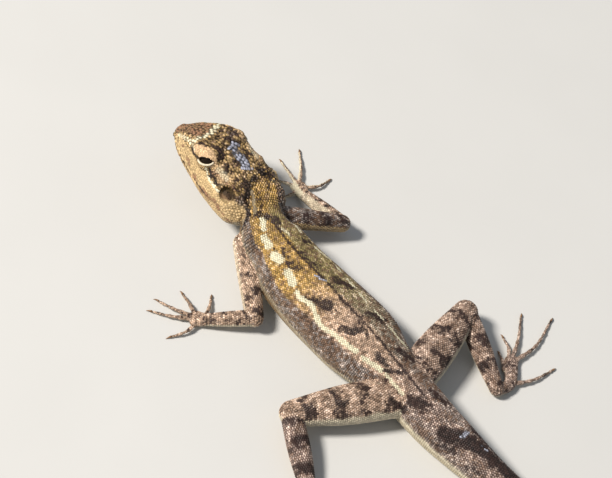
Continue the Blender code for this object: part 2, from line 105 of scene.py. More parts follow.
def sideways(directions):
    """Unit vectors to the left of each direction and upright on it."""
    left = np.cross(directions, (0.0, 0.0, 1.0))
    left /= np.linalg.norm(left, axis=1)[:, None]
    return left, np.cross(left, directions)


def signed_power(values, power):
    return np.sign(values) * np.abs(values) ** power


def points_of(mesh, name="co"):
    values = np.empty(len(mesh.vertices) * 3)
    mesh.vertices.foreach_get(name, values)
    return values.reshape(-1, 3)


def shown(name, data):
    """A mesh, lamp or camera as an object in the scene."""
    thing = bpy.data.objects.new(name, data)
    bpy.context.scene.collection.objects.link(thing)
    return thing


def made(name, bm):
    """A bmesh as an object in the scene."""
    mesh = bpy.data.meshes.new(name)
    bm.to_mesh(mesh)
    bm.free()
    return shown(name, mesh)


def face_out(bm):
    if bm.calc_volume(signed=True) < 0.0:
        bmesh.ops.reverse_faces(bm, faces=bm.faces)


def placed(name, bm, shape):
    """An object from a bmesh whose points are moved all together by a function."""
    piece = made(name, bm)
    piece.data.vertices.foreach_set("co", shape(points_of(piece.data)).ravel())
    bm = bmesh.new()
    bm.from_mesh(piece.data)
    face_out(bm)
    bm.to_mesh(piece.data)
    bm.free()
    return piece


def cap_turns(count):
    """The turns at which the rings of a round end stand, from its root to near its pole."""
    return np.pi / 2 * (np.arange(count) + 0.5) / count


def on_ring(ball, last, squareness, sizes):
    """For each point of a ball: its ring, and how far it stands across and above the ring's middle."""
    ring = np.rint(np.arccos(np.clip(ball[:, 2], -1.0, 1.0)) / np.pi * last).astype(int)
    turn = np.arctan2(ball[:, 1], ball[:, 0])
    square = np.where(turn > 0.0, squareness[ring, 0], squareness[ring, 1])
    rise = signed_power(np.sin(turn), square)
    rise *= np.where(rise > 0.0, sizes[ring, 1], sizes[ring, 2])
    return ring, signed_power(np.cos(turn), square) * sizes[ring, 0], rise


def drawn_out(name, rows, sides, squareness=1.0, shrink=SCALE_DEPTH, floor=SCALE_DEPTH):
    """A ball drawn out through oval rings, with round ends past the first ring and the last."""
    ends, starts = cap_turns(CAP_RINGS)[:, None], cap_turns(CAP_RINGS)[::-1, None]
    sizes = np.maximum(rows[:, 3:6] - shrink, LEAST_SIZE)
    centres, directions = rows[:, :3], rows[:, -3:]
    first_reach, last_reach = directions[:1] * sizes[0].min(), directions[-1:] * sizes[-1].min()
    centres = np.vstack([
        centres[:1] - first_reach, centres[:1] - first_reach * np.sin(starts), centres,
        centres[-1:] + last_reach * np.sin(ends), centres[-1:] + last_reach,
    ])
    pole = np.zeros((1, 3))
    sizes = np.vstack([pole, sizes[:1] * np.cos(starts), sizes, sizes[-1:] * np.cos(ends), pole])
    directions = np.vstack([
        directions[:1].repeat(CAP_RINGS + 1, 0), directions, directions[-1:].repeat(CAP_RINGS + 1, 0)])
    left, up = sideways(directions)
    last = len(centres) - 1

    def shape(ball):
        ring, across, rise = on_ring(ball, last, np.full((last + 1, 2), squareness), sizes)
        points = centres[ring] + left[ring] * across[:, None] + up[ring] * rise[:, None]
        points[:, 2] = np.maximum(points[:, 2], floor)
        return points

    bm = bmesh.new()
    bmesh.ops.create_uvsphere(bm, u_segments=sides, v_segments=last, radius=1.0)
    return placed(name, bm, shape)


tail_rows = tuple((x, y, radius * TAIL_SETTLE, radius, radius, radius) for x, y, radius in TAIL_LINE)
body_rows = read_line(BODY_LINE + tail_rows, BODY_STEP)
flesh = [drawn_out("trunk", body_rows, BODY_SIDES, BODY_SQUARENESS)]

# The head is a blunt wedge: a flat crown with raised brows over the eyes, full cheeks, and deep jaws
# that part along a line of the mouth. Its frame has x forward from the snout's tip, y left and z up.
SNOUT_TIP = (2.85, -65.0, 11.5)
HEAD_YAW, HEAD_PITCH, HEAD_ROLL = 11.0, -1.0, 6.0

# Snout to nape: how far back, the widest level, half width, rise, depth, and the squareness above and below
HEAD_LINE = (
    (0.5, -0.6, 2.3, 2.8, 1.1, 0.80, 1.0),
    (2.5, -0.8, 3.9, 4.4, 2.0, 0.74, 0.85),
    (5.0, -0.9, 5.2, 5.9, 2.7, 0.70, 0.74),
    (8.0, -1.1, 6.5, 7.2, 3.3, 0.68, 0.72),
    (11.5, -1.3, 7.7, 7.9, 4.2, 0.68, 0.70),
    (15.0, -1.5, 8.8, 7.5, 5.1, 0.72, 0.70),
    (18.5, -1.7, 9.5, 7.0, 5.6, 0.76, 0.70),
    (22.0, -1.9, 10.0, 6.2, 5.9, 0.78, 0.70),
    (25.0, -2.0, 9.7, 4.8, 5.9, 0.84, 0.74),
    (27.3, -2.1, 8.2, 4.2, 5.6, 0.90, 0.80),
)
SNOUT_CAP, NAPE_CAP, HEAD_CAP_RINGS = 1.2, 3.4, 8
HEAD_STEP, HEAD_SIDES = 0.4, 96
EYE_CENTRE, EYE_RADIUS, EYE_GAP, LID_THICKNESS = (-13.0, 5.2, 4.1), 2.4, 0.3, 0.55
MOUTH_LINE = ((-3.0, -1.2), (3.0, -1.25), (8.0, -1.6), (13.0, -2.0), (18.0, -2.3))
LIP_REACH, LIP_HEIGHT, LIP_BACK = 1.0, 0.22, 19.0

# Swellings and hollows of the head: centre, reach and height
HEAD_SWELLINGS = (
    ((-26.3, 7.6, -3.6), 3.0, 1.0),
    ((-3.4, 3.2, 3.4), 1.8, 0.5),
    ((-6.0, 4.6, 5.0), 2.0, 0.8),
    ((-8.6, 5.6, 6.0), 2.1, 1.2),
    ((-11.0, 6.2, 6.6), 2.2, 1.4),
    ((-13.4, 6.6, 6.4), 2.2, 1.3),
    ((-15.6, 6.9, 5.4), 2.0, 0.8),
    ((-12.7, 8.0, 3.2), 2.2, -0.7),
)

yaw, pitch, roll = (math.radians(angle) for angle in (HEAD_YAW, HEAD_PITCH, HEAD_ROLL))
head_forward = Vector((math.sin(yaw) * math.cos(pitch), -math.cos(yaw) * math.cos(pitch), math.sin(pitch)))
head_level = Vector((math.cos(yaw), math.sin(yaw), 0.0))
head_left = math.cos(roll) * head_level + math.sin(roll) * head_forward.cross(head_level)
HEAD_TURN = np.array(Matrix((head_forward, head_left, head_forward.cross(head_left))))


def from_head(points):
    """Points of the head's frame in the whole animal's."""
    return np.asarray(points) @ HEAD_TURN + SNOUT_TIP


def into_head(points):
    return (np.asarray(points) - SNOUT_TIP) @ HEAD_TURN.T


def above_mouth(head):
    """How high points of the head's frame stand above the line of the mouth."""
    return head[:, 2] - np.interp(-head[:, 0], *zip(*MOUTH_LINE))


def head_form(points):
    """Points of the head pushed out by its lips, brows, cheeks and orbits."""
    level = np.interp(-points[:, 0], [row[0] for row in HEAD_LINE], [row[1] for row in HEAD_LINE])
    outward = points - np.stack([points[:, 0], 0.0 * level, level], axis=1)
    outward /= np.maximum(np.linalg.norm(outward, axis=1), 1e-6)[:, None]
    lips = LIP_HEIGHT * np.exp(-(above_mouth(points) / LIP_REACH) ** 2) * (-points[:, 0] < LIP_BACK)
    points = points + outward * lips[:, None]
    for centre, reach, height in HEAD_SWELLINGS:
        middle = np.array(centre) * np.stack([0 * level + 1, np.sign(points[:, 1]), 0 * level + 1], axis=1)
        near = np.exp(-(np.linalg.norm(points - middle, axis=1) / reach) ** 2)
        points = points + outward * (height * near)[:, None]
    return points


head_rows = read_line([(-back, 0.0, *sizes) for back, *sizes in HEAD_LINE], HEAD_STEP)
first, last = head_rows[0], head_rows[-1]
nape_caps, cap_rows = cap_turns(HEAD_CAP_RINGS), HEAD_CAP_RINGS + 1
snout_caps = nape_caps[::-1]
head_along = np.r_[
    first[0] + SNOUT_CAP, first[0] + SNOUT_CAP * np.sin(snout_caps), head_rows[:, 0],
    last[0] - NAPE_CAP * np.sin(nape_caps), last[0] - NAPE_CAP]
head_levels = np.r_[[first[2]] * cap_rows, head_rows[:, 2], [last[2]] * cap_rows]
pole, inner_sizes = np.zeros((1, 3)), head_rows[:, 3:6] - SCALE_DEPTH
head_sizes = np.vstack([
    pole, inner_sizes[0] * np.cos(snout_caps)[:, None], inner_sizes,
    inner_sizes[-1] * np.cos(nape_caps)[:, None], pole])
head_squares = np.vstack([
    first[None, 6:8].repeat(cap_rows, 0), head_rows[:, 6:8], last[None, 6:8].repeat(cap_rows, 0)])


def head_rings(ball):
    """A ball drawn out to the head: superelliptic rings, squarer over the crown and the jaw."""
    ring, across, rise = on_ring(ball, len(head_along) - 1, head_squares, head_sizes)
    return from_head(head_form(np.stack([head_along[ring], across, head_levels[ring] + rise], axis=1)))


bm = bmesh.new()
bmesh.ops.create_uvsphere(bm, u_segments=HEAD_SIDES, v_segments=len(head_along) - 1, radius=1.0)
flesh.append(placed("head", bm, head_rings))


def round_eye(name, side, radius, sides, rings):
    """A ball round the centre of one eye, 1 the left and -1 the right."""
    bm = bmesh.new()
    bmesh.ops.create_uvsphere(bm, u_segments=sides, v_segments=rings, radius=radius)
    return placed(name, bm, lambda ball: from_head(ball + np.array(EYE_CENTRE) * (1, side, 1)))


lid_radius = EYE_RADIUS + EYE_GAP + LID_THICKNESS - SCALE_DEPTH
flesh += [round_eye("lids", side, lid_radius, 40, 20) for side in (1, -1)]

# Muscle behind the skull fills the step down from the crown to the neck
NAPE_PLACES = (from_head((-23.5, 0.0, -1.2)), from_head((-28.0, 0.2, -1.8)), (-0.9, -35.6, 10.4))
NAPE_SIZES, NAPE_STEP = ((8.6, 5.4, 4.6), (6.9, 4.7, 4.6), (5.0, 4.6, 4.7)), 0.5
nape_rows = read_line([(*place, *sizes) for place, sizes in zip(NAPE_PLACES, NAPE_SIZES)], NAPE_STEP)
flesh.append(drawn_out("nape", nape_rows, BODY_SIDES, BODY_SQUARENESS))

# The limbs are bent and spread as the animal basks: each has an upper and a lower part of muscle,
# a palm or sole, and five clawed digits with swollen joints, the fourth the longest.
SHOULDER = {"left": (7.4, -30.8, 7.4), "right": (-4.2, -33.2, 8.2)}
ELBOW = {"left": (16.6, -13.6, 3.9), "right": (-20.6, -24.2, 4.6)}
WRIST = {"left": (26.2, -19.9, 2.1), "right": (-19.3, -37.0, 2.2)}
HIP = {"left": (2.6, 22.2, 6.0), "right": (-5.0, 21.2, 6.0)}
KNEE = {"left": (26.4, 12.4, 5.4), "right": (-30.3, 13.4, 6.2)}
ANKLE = {"left": (34.4, 30.2, 2.2), "right": (-24.6, 33.4, 2.2)}
UPPER_ARM = ((2.9, 2.8), (2.8, 2.6), (2.3, 2.3))
FOREARM = ((2.1, 2.1), (2.0, 2.0), (1.6, 1.5))
THIGH = ((5.2, 4.6), (4.9, 4.5), (3.2, 3.0))
SHANK = ((2.7, 2.6), (2.8, 2.6), (1.9, 1.9))
PALM_HEEL = {"left": (27.2, -21.2), "right": (-19.8, -39.2)}
SOLE_HEEL = {"left": (37.6, 32.0), "right": (-28.2, 34.0)}
PALM_END = {"left": (28.0, -22.4), "right": (-20.4, -41.0)}
SOLE_END = {"left": (46.0, 33.6), "right": (-34.6, 28.9)}
PALM_SIZE, SOLE_SIZE, PAW_LEVEL, PAW_DEPTH = (2.3, 1.0), (1.9, 1.0), 1.1, 1.2
ANKLE_SIZE, HEEL_LEVEL, HEEL_SHARE, HEEL_SIZE = (1.6, 1.5, 1.6), 1.5, 0.85, (1.4, 1.6)
FINGERS = {
    "left": (
        ((25.2, -21.4), (22.8, -23.0), (20.4, -25.2)),
        ((27.4, -23.0), (26.6, -26.2), (26.0, -29.6)),
        ((28.4, -23.2), (30.6, -26.6), (32.4, -31.0)),
        ((29.0, -22.6), (32.2, -25.2), (35.6, -29.4)),
        ((28.6, -20.8), (32.0, -20.2), (35.8, -21.2)),
    ),
    "right": (
        ((-18.9, -39.2), (-16.0, -39.6), (-13.2, -40.6)),
        ((-19.4, -41.0), (-18.2, -43.0), (-16.9, -45.4)),
        ((-20.3, -41.6), (-20.9, -45.4), (-21.8, -49.4)),
        ((-21.2, -41.4), (-24.6, -44.8), (-28.2, -49.6)),
        ((-21.4, -39.4), (-25.2, -38.0), (-29.3, -38.4)),
    ),
}
TOES = {
    "left": (
        ((41.6, 31.4), (43.4, 28.6), (45.6, 26.6)),
        ((45.2, 32.2), (48.6, 30.2), (51.0, 27.4)),
        ((46.2, 33.4), (52.4, 33.4), (59.2, 32.0)),
        ((46.2, 34.4), (52.4, 37.6), (62.2, 40.0)),
        ((40.4, 35.2), (45.2, 39.8), (49.4, 45.4)),
    ),
    "right": (
        ((-30.9, 29.9), (-32.4, 27.6), (-33.5, 25.6)),
        ((-34.2, 28.2), (-36.4, 25.8), (-37.7, 22.6)),
        ((-35.2, 28.6), (-40.2, 25.4), (-46.4, 20.4)),
        ((-35.4, 29.6), (-42.4, 29.3), (-52.7, 25.5)),
        ((-29.6, 34.2), (-35.6, 36.2), (-42.6, 36.6)),
    ),
}
DIGIT_RADII, DIGIT_ARCH = (0.76, 0.56, 0.4), (1.3, 1.15, 0.42)
JOINT_SWELLING, JOINT_SPACING = 0.1, 2.6
LIMB_STEP, PAW_STEP, DIGIT_STEP = 0.5, 0.4, 0.3
PAW_FLOOR, DIGIT_SHRINK = 0.05, 0.2


def limb_line(start, end, sizes):
    """Rows of one limb piece between two joints, each with its half width, rise and depth."""
    start, end = np.array(start, dtype=float), np.array(end, dtype=float)
    places = (start, (start + end) / 2, end)
    rows = [(*place, width, height, height) for place, (width, height) in zip(places, sizes)]
    return read_line(rows, LIMB_STEP)


def digit_line(points):
    """Rows of one finger or toe, arched a little and swollen at its joints."""
    rows = read_line([(*place, height, radius, radius, radius)
                      for place, height, radius in zip(points, DIGIT_ARCH, DIGIT_RADII)], DIGIT_STEP)
    along = np.arange(len(rows)) * DIGIT_STEP
    rows[:, 3:6] *= (1.0 + JOINT_SWELLING * np.cos(2 * np.pi * along / JOINT_SPACING))[:, None]
    return rows


limb_lines, paw_lines, digit_lines = [], [], []
for side in ("left", "right"):
    chains = (
        (SHOULDER, ELBOW, WRIST, UPPER_ARM, FOREARM, PALM_HEEL, PALM_END, PALM_SIZE, FINGERS),
        (HIP, KNEE, ANKLE, THIGH, SHANK, SOLE_HEEL, SOLE_END, SOLE_SIZE, TOES),
    )
    for root, bend, ankle, upper, lower, heel, far, (width, height), digits in chains:
        limb_lines.append(limb_line(root[side], bend[side], upper))
        limb_lines.append(limb_line(bend[side], ankle[side], lower))
        paw_lines.append(read_line((
            (*ankle[side], *ANKLE_SIZE), (*heel[side], HEEL_LEVEL, width * HEEL_SHARE, *HEEL_SIZE),
            (*far[side], PAW_LEVEL, width, height, PAW_DEPTH)), PAW_STEP))
        digit_lines += [digit_line(points) for points in digits[side]]
flesh += [drawn_out("limb", rows, 40) for rows in limb_lines]
flesh += [drawn_out("paw", rows, 32, floor=PAW_FLOOR) for rows in paw_lines]
flesh += [drawn_out("digit", rows, 16, shrink=DIGIT_SHRINK, floor=PAW_FLOOR) for rows in digit_lines]

# One skin covers the flesh from the snout to the tail's tip. The parts are fused by a fine remesh,
# and eased where a limb, the neck or the head grows from the body.
SKIN_GRAIN, SKIN_EASE, SKIN_SHARE = 0.22, 4, 0.31


def fused(name, parts):
    """One closed mesh from many that pass into each other, thinned out where it is flat."""
    bm = bmesh.new()
    for part in parts:
        bm.from_mesh(part.data)
        bpy.data.objects.remove(part)
    piece = made(name, bm)
    remesh = piece.modifiers.new("fuse", "REMESH")
    remesh.mode, remesh.voxel_size = "VOXEL", SKIN_GRAIN
    piece.modifiers.new("ease", "SMOOTH").iterations = SKIN_EASE
    piece.modifiers.new("thin", "DECIMATE").ratio = SKIN_SHARE
    evaluated = piece.evaluated_get(bpy.context.evaluated_depsgraph_get())
    mesh = bpy.data.meshes.new_from_object(evaluated)
    piece.modifiers.clear()
    piece.data = mesh
    return piece


skin = fused("skin", flesh)

# Folds and openings are worked into the soft skin: the slit between the lids, the sunk ear drum, the
# nostrils, the line of the mouth, the grooves round the brows and the creases of the neck. Where they
# are fine the mesh is made finer first.
SLIT_PLACE, SLIT_REACH, SLIT_TILT = (-13.35, 7.6, 5.55), (1.85, 1.0), math.radians(22.0)
SLIT_FLATNESS, SLIT_SPAN, LID_DEPTH, LID_EDGE = 1.25, 1.7, 0.4, 0.9
EAR_PLACE, EAR_REACH, EAR_DEPTH, EAR_WALL = (-22.6, 8.4, 1.7), 2.5, 1.2, (0.66, 0.96)
NOSTRIL_PLACE, NOSTRIL_REACH, NOSTRIL_DEPTH, NOSTRIL_WALL = (-2.4, 3.6, 1.0), 0.5, 0.5, (0.5, 1.0)
MOUTH_CORNER, MOUTH_GROOVE, MOUTH_DEPTH = 18.0, 0.24, 0.34
HEAD_CREASES = (
    (((-9.3, 5.2, 6.5), (-8.9, 2.7, 6.2), (-9.9, 0.9, 6.3), (-11.3, -0.1, 6.4), (-14.0, 0.2, 6.1)),
     0.5, -0.32),
    (((-14.0, 0.2, 6.1), (-15.8, 2.2, 5.8), (-16.6, 4.6, 5.4)), 0.6, -0.28),
    (((-6.4, 4.7, 4.9), (-8.9, 6.3, 4.6), (-10.6, 7.2, 4.4)), 0.3, -0.22),
    (((-14.9, 7.7, 4.2), (-16.8, 7.9, 3.1), (-19.9, 8.3, 2.5)), 0.3, -0.22),
    (((-25.4, 3.6, 2.3), (-26.3, 4.7, 1.7), (-28.8, 6.1, 1.3), (-30.5, 7.5, 0.6)), 0.55, -0.5),
    (((-26.0, 2.6, 2.6), (-27.5, 3.7, 2.4), (-29.2, 5.0, 2.1), (-31.1, 5.9, 2.0)), 0.4, 0.25),
    (((-28.4, 8.0, -0.6), (-29.6, 8.6, -3.0), (-29.8, 6.8, -5.0)), 0.7, -0.6),
)
HEAD_SKIN, HEAD_BACK, HEAD_FADE, NECK_BACK = 1.2, 28.5, 0.5, -33.0
FINE_GRAIN, FINE_SLIT, FINE_EAR, FINE_NOSTRIL, FINE_MOUTH = 0.24, 1.7, 1.3, 2.5, 0.5

# The raised rims of the ear and the nostril: height, and place and width in reaches of the opening
EAR_RIM, NOSTRIL_RIM = (0.16, 1.12, 0.2), (0.1, 1.3, 0.4)


def to_stroke(points, stroke):
    """How far points lie from a bent line."""
    stroke = np.array(stroke, dtype=float)
    nearest = np.full(len(points), np.inf)
    for start, end in zip(stroke[:-1], stroke[1:]) if len(stroke) > 1 else ((stroke[0], stroke[0]),):
        run = end - start
        share = np.clip((points - start) @ run / max(run @ run, 1e-9), 0.0, 1.0)
        nearest = np.minimum(nearest, np.linalg.norm(points - start - share[:, None] * run, axis=1))
    return nearest


def both_sides(points):
    """Head points folded onto the left side."""
    return np.c_[points[:, 0], np.abs(points[:, 1]), points[:, 2]]


def head_out(head):
    """How far out of the head's wedge points lie, 1 on its surface."""
    back = [row[0] for row in HEAD_LINE]
    columns = list(zip(*HEAD_LINE))[1:]
    level, width, rise, depth, over, under = (np.interp(-head[:, 0], back, column) for column in columns)
    up = head[:, 2] - level
    power = np.where(up > 0.0, over, under)
    tall = np.abs(up) / np.where(up > 0.0, rise, depth)
    out = ((np.abs(head[:, 1]) / width) ** (2 / power) + tall ** (2 / power)) ** (power / 2)
    return out + HEAD_FADE * np.maximum(-head[:, 0] - HEAD_BACK, 0.0)


def from_mouth(head):
    """How far points on the head's sides lie from the line of the mouth."""
    return np.hypot(above_mouth(head), np.maximum(-head[:, 0] - MOUTH_CORNER, 0.0))


def smooth_step(low, high, values):
    share = np.clip((values - low) / (high - low), 0.0, 1.0)
    return share * share * (3 - 2 * share)


slit_out = np.array(SLIT_PLACE) - EYE_CENTRE
slit_out /= np.linalg.norm(slit_out)
level_ahead = np.cross(slit_out, (0.0, 0.0, 1.0))
level_ahead /= np.linalg.norm(level_ahead)
slit_ahead = math.cos(SLIT_TILT) * level_ahead - math.sin(SLIT_TILT) * np.cross(level_ahead, slit_out)
slit_rise = np.cross(slit_ahead, slit_out)


def slit_share(points):
    """Nought at the middle of the opening between the lids, 1 at its edge, more outside."""
    place = points - SLIT_PLACE
    across, height = place @ slit_ahead / SLIT_REACH[0], place @ slit_rise / SLIT_REACH[1]
    share = np.hypot(across, np.where(height > 0.0, height * SLIT_FLATNESS, height))
    return np.where(np.abs(place @ slit_out) < SLIT_SPAN, share, np.inf)


def reaches(head, place, reach):
    """How far points of the head lie from a place, counted in reaches."""
    return np.linalg.norm(head - place, axis=1) / reach


def refine(piece, wanted, grain):
    """Splits the edges longer than the grain where a function of the points wants it."""
    bm = bmesh.new()
    bm.from_mesh(piece.data)
    bm.verts.ensure_lookup_table()
    chosen = wanted(points_of(piece.data))
    edges = [edge for edge in bm.edges
             if chosen[edge.verts[0].index] and chosen[edge.verts[1].index] and edge.calc_length() > grain]
    bmesh.ops.subdivide_edges(bm, edges=edges, cuts=1, use_grid_fill=True)
    bmesh.ops.triangulate(bm, faces=[face for face in bm.faces if len(face.verts) > 3])
    alike = {}
    for face in bm.faces:
        alike.setdefault(frozenset(face.verts), []).append(face)
    doubled = [face for faces in alike.values() if len(faces) > 1 for face in faces]
    bmesh.ops.delete(bm, geom=doubled, context="FACES")
    bm.to_mesh(piece.data)
    bm.free()


def fine_places(points):
    head = both_sides(into_head(points))
    return ((slit_share(head) < FINE_SLIT) | (reaches(head, EAR_PLACE, EAR_REACH) < FINE_EAR)
            | (reaches(head, NOSTRIL_PLACE, NOSTRIL_REACH) < FINE_NOSTRIL)
            | ((from_mouth(head) < FINE_MOUTH) & (head_out(head) < HEAD_SKIN)))


def opening(share, depth, wall, rim):
    """The rise of the skin round an opening: sunk inside its wall, with a raised rim."""
    height, place, width = rim
    return height * np.exp(-((share - place) / width) ** 2) - depth * (1.0 - smooth_step(*wall, share))


for _ in range(2):
    refine(skin, fine_places, FINE_GRAIN)

points, outward = points_of(skin.data), points_of(skin.data, "normal")
head = both_sides(into_head(points))
in_head = head[:, 0] > NECK_BACK
height = -MOUTH_DEPTH * np.exp(-(from_mouth(head) / MOUTH_GROOVE) ** 2) * (head_out(head) < HEAD_SKIN)
for stroke, wide, rise in HEAD_CREASES:
    height += rise * np.exp(-(to_stroke(head, stroke) / wide) ** 2) * in_head
height += opening(reaches(head, EAR_PLACE, EAR_REACH), EAR_DEPTH, EAR_WALL, EAR_RIM)
height += opening(reaches(head, NOSTRIL_PLACE, NOSTRIL_REACH), NOSTRIL_DEPTH, NOSTRIL_WALL, NOSTRIL_RIM)
points += outward * height[:, None]
head = into_head(points)
folded = both_sides(head)
slit = slit_share(folded)
from_eye = folded - EYE_CENTRE
depth = from_eye @ slit_out
off_centre = np.linalg.norm(from_eye - depth[:, None] * slit_out, axis=1)
inside = np.sqrt(np.maximum((EYE_RADIUS - LID_DEPTH) ** 2 - off_centre ** 2, 0.1))
sunk = 1.0 - smooth_step(LID_EDGE, 1.0, slit)
folded -= ((depth - inside) * sunk)[:, None] * slit_out
folded[:, 1] *= np.where(head[:, 1] < 0.0, -1.0, 1.0)
points = np.where((slit < 1.0)[:, None], from_head(folded), points)
skin.data.vertices.foreach_set("co", points.ravel())
skin.data.update()

# The hide's markings: gold over the nape and the front of the back, fading to pinkish tan behind,
# grey flanks, a pale belly, a row of cream spots that run into a ragged stripe, dark saddles and bars,
# and on the head a brown snout, a pale brow band, peach lids and a blue-grey crown. Painted light and
# shade are among them: the olive and grey of the right side, the belly's brown side, dark lines in the
# creases of the backbone, the mouth and behind the jaw, the dark nostrils and ear pits, and on the limbs
# the grey right upper arm with its ochre underside, the darker left shank and the pale right hand.
GOLD, OLIVE, FLANK, CLAY, PALE, OCHRE, CREAM, DARK, BROWN, BLUE, PEACH = MARK_NAMES = (
    "gold", "olive", "flank", "clay", "pale", "ochre", "cream", "dark", "brown", "blue", "peach")
RAGGED_GRAIN, RAGGED_SEEDS, RAGGED_MOST, RAGGED_ON_HEAD = 1.3, (3.1, 17.3, 41.9), 1.0, 0.6
RAGGED = dict.fromkeys(MARK_NAMES, 0.8) | {CREAM: 0.35, DARK: 1.1}
BROAD_GRAIN, BROAD_SEED, BAR_SEED, BREAK_GRAIN, BREAK_SEED = 3.5, 7.7, 23.7, 2.4, 61.3

# How far the grounds' edges wander: along the back, round the flank, hips and limbs, and in a tail band
BACK_WANDER, FLANK_WANDER, HIP_WANDER, LIMB_WANDER, BAND_WANDER = 2.0, 3.0, 4.0, 6.0, 1.2

# How soft the edge of a stroke is, from full to none, in half widths
EDGES = dict.fromkeys(MARK_NAMES, (0.8, 1.2)) | {DARK: (0.5, 1.5), BLUE: (0.5, 1.4)}

# Strokes on the trunk: kind, strength, half width and the places it runs through
TRUNK_MARKS = (
    (CREAM, 1.0, 0.72, ((3.5, -30.9, 14.6), (4.6, -28.8, 14.5))),
    (CREAM, 1.0, 0.92, ((6.0, -26.7, 14.0), (6.4, -24.4, 13.8))),
    (CREAM, 1.0, 1.12, ((6.8, -21.5, 13.5), (6.5, -19.9, 13.6))),
    (CREAM, 1.0, 1.1, ((6.8, -15.9, 13.2), (7.3, -13.3, 12.8))),
    (CREAM, 1.0, 0.6, ((7.8, -10.9, 12.3), (8.1, -9.3, 12.0), (7.5, -7.8, 12.2), (7.0, -6.1, 12.3),
                       (7.6, -3.5, 11.8), (8.2, -1.0, 11.2), (7.6, 1.3, 11.3), (7.0, 3.2, 11.5),
                       (6.6, 5.4, 11.5), (5.9, 7.7, 11.5), (5.3, 9.4, 11.4))),
    (CREAM, 1.0, 0.6, ((4.9, 11.6, 11.1), (4.0, 14.0, 11.1), (3.2, 16.4, 10.8))),
    (CREAM, 0.8, 0.45, ((2.8, 18.1, 10.8), (2.7, 20.2, 10.6), (2.4, 24.0, 10.2))),
    (CREAM, 0.8, 0.42, ((-5.0, -31.5, 11.4), (-4.2, -29.0, 12.4))),
    (CREAM, 0.8, 0.42, ((-3.9, -26.4, 12.9), (-3.6, -23.9, 13.3))),
    (CREAM, 0.9, 0.46, ((-4.4, -18.6, 12.7), (-5.4, -16.4, 12.0), (-6.1, -14.6, 11.3))),
    (CREAM, 0.8, 0.4, ((-6.1, -12.2, 11.6), (-5.9, -10.0, 11.9))),
    (CREAM, 0.85, 0.42, ((-5.8, -7.6, 12.1), (-5.8, -4.6, 12.2))),
    (CREAM, 0.8, 0.36, ((-5.6, -2.6, 12.4), (-5.5, 0.2, 12.4))),
    (CREAM, 0.8, 0.36, ((-5.7, 3.0, 12.3), (-6.0, 6.2, 12.1))),
    (CREAM, 0.8, 0.38, ((-6.1, 8.4, 11.9), (-6.3, 11.4, 11.4), (-7.0, 15.0, 10.3))),
    (PALE, 0.7, 0.8, ((5.6, 18.6, 9.4), (4.6, 21.6, 9.2))),
    (DARK, 0.9, 1.15, ((3.0, -32.6, 14.5), (1.9, -30.8, 14.7), (0.4, -28.5, 14.7))),
    (DARK, 0.6, 0.9, ((4.6, -21.6, 14.1), (4.8, -19.2, 14.0), (4.0, -15.6, 13.9))),
    (DARK, 0.7, 1.1, ((5.6, -18.0, 13.8), (3.8, -15.3, 13.9))),
    (DARK, 0.6, 1.2, ((1.2, -18.6, 14.2), (0.4, -15.6, 14.0), (-0.4, -13.4, 13.8))),
    (DARK, 0.9, 1.4, ((6.0, -5.8, 12.6), (3.6, -3.3, 13.1))),
    (DARK, 0.85, 0.55, ((7.4, -8.6, 12.3), (6.2, -6.6, 12.6))),
    (DARK, 0.9, 0.95, ((4.8, 2.9, 12.4), (3.2, 5.2, 12.7), (0.6, 6.0, 12.8))),
    (DARK, 0.7, 0.8, ((-0.6, 3.0, 12.9), (0.8, 7.6, 12.7))),
    (DARK, 0.9, 1.1, ((1.6, 13.3, 11.9), (1.3, 16.4, 11.6))),
    (DARK, 1.0, 0.7, ((2.7, 17.1, 11.0), (1.0, 18.8, 11.6), (-0.4, 20.0, 11.7))),
    (DARK, 0.95, 1.5, ((2.2, 26.4, 10.8), (0.8, 29.6, 11.0))),
    (DARK, 0.9, 1.0, ((5.8, 23.9, 9.6), (3.7, 26.9, 8.2))),
    (DARK, 0.8, 1.2, ((-3.6, 28.0, 11.0), (-4.6, 31.6, 10.4))),
    (DARK, 1.45, 1.9, ((0.4, 38.2, 10.2), (-1.4, 40.6, 10.5), (-3.2, 42.8, 10.2), (-5.2, 45.6, 9.6),
                      (-6.4, 50.0, 8.6), (-7.6, 54.6, 7.6))),
    (DARK, 0.9, 1.6, ((-6.4, 40.5, 8.8), (-8.0, 44.0, 8.0), (-9.4, 50.0, 7.0))),
    (DARK, 0.8, 1.0, ((2.6, 38.8, 7.6), (1.2, 41.6, 8.8))),
    (DARK, 0.7, 0.7, ((0.4, 46.6, 7.4), (-0.8, 49.0, 7.6))),
    (DARK, 0.8, 0.8, ((-2.3, -21.5, 13.8), (-3.4, -20.4, 13.3))),
    (DARK, 0.85, 1.1, ((-2.8, -8.0, 13.1), (-4.6, -4.8, 12.6))),
    (DARK, 0.85, 1.2, ((-3.7, 3.5, 12.8), (-6.0, 6.4, 12.1))),
    (DARK, 0.9, 1.3, ((-4.2, 14.9, 11.7), (-5.6, 18.2, 11.2))),
    (DARK, 1.0, 0.32, ((6.1, -22.9, 13.9),)),
    (DARK, 1.0, 0.36, ((7.7, -11.9, 12.5),)),
    (DARK, 1.0, 0.36, ((7.2, 3.9, 11.2),)),
    (DARK, 1.0, 0.34, ((5.4, 4.9, 12.1),)),
    (BLUE, 1.0, 0.7, ((-2.4, 40.5, 10.6), (-4.4, 40.4, 10.4))),
    (BLUE, 0.8, 0.5, ((-5.5, 45.0, 9.6), (-5.9, 46.6, 9.4))),
    (CREAM, 0.6, 0.45, ((0.6, -26.2, 14.8), (0.2, -24.4, 14.7))),
    (BLUE, 0.7, 0.6, ((1.6, -11.6, 13.8), (0.4, -9.4, 13.6))),
)
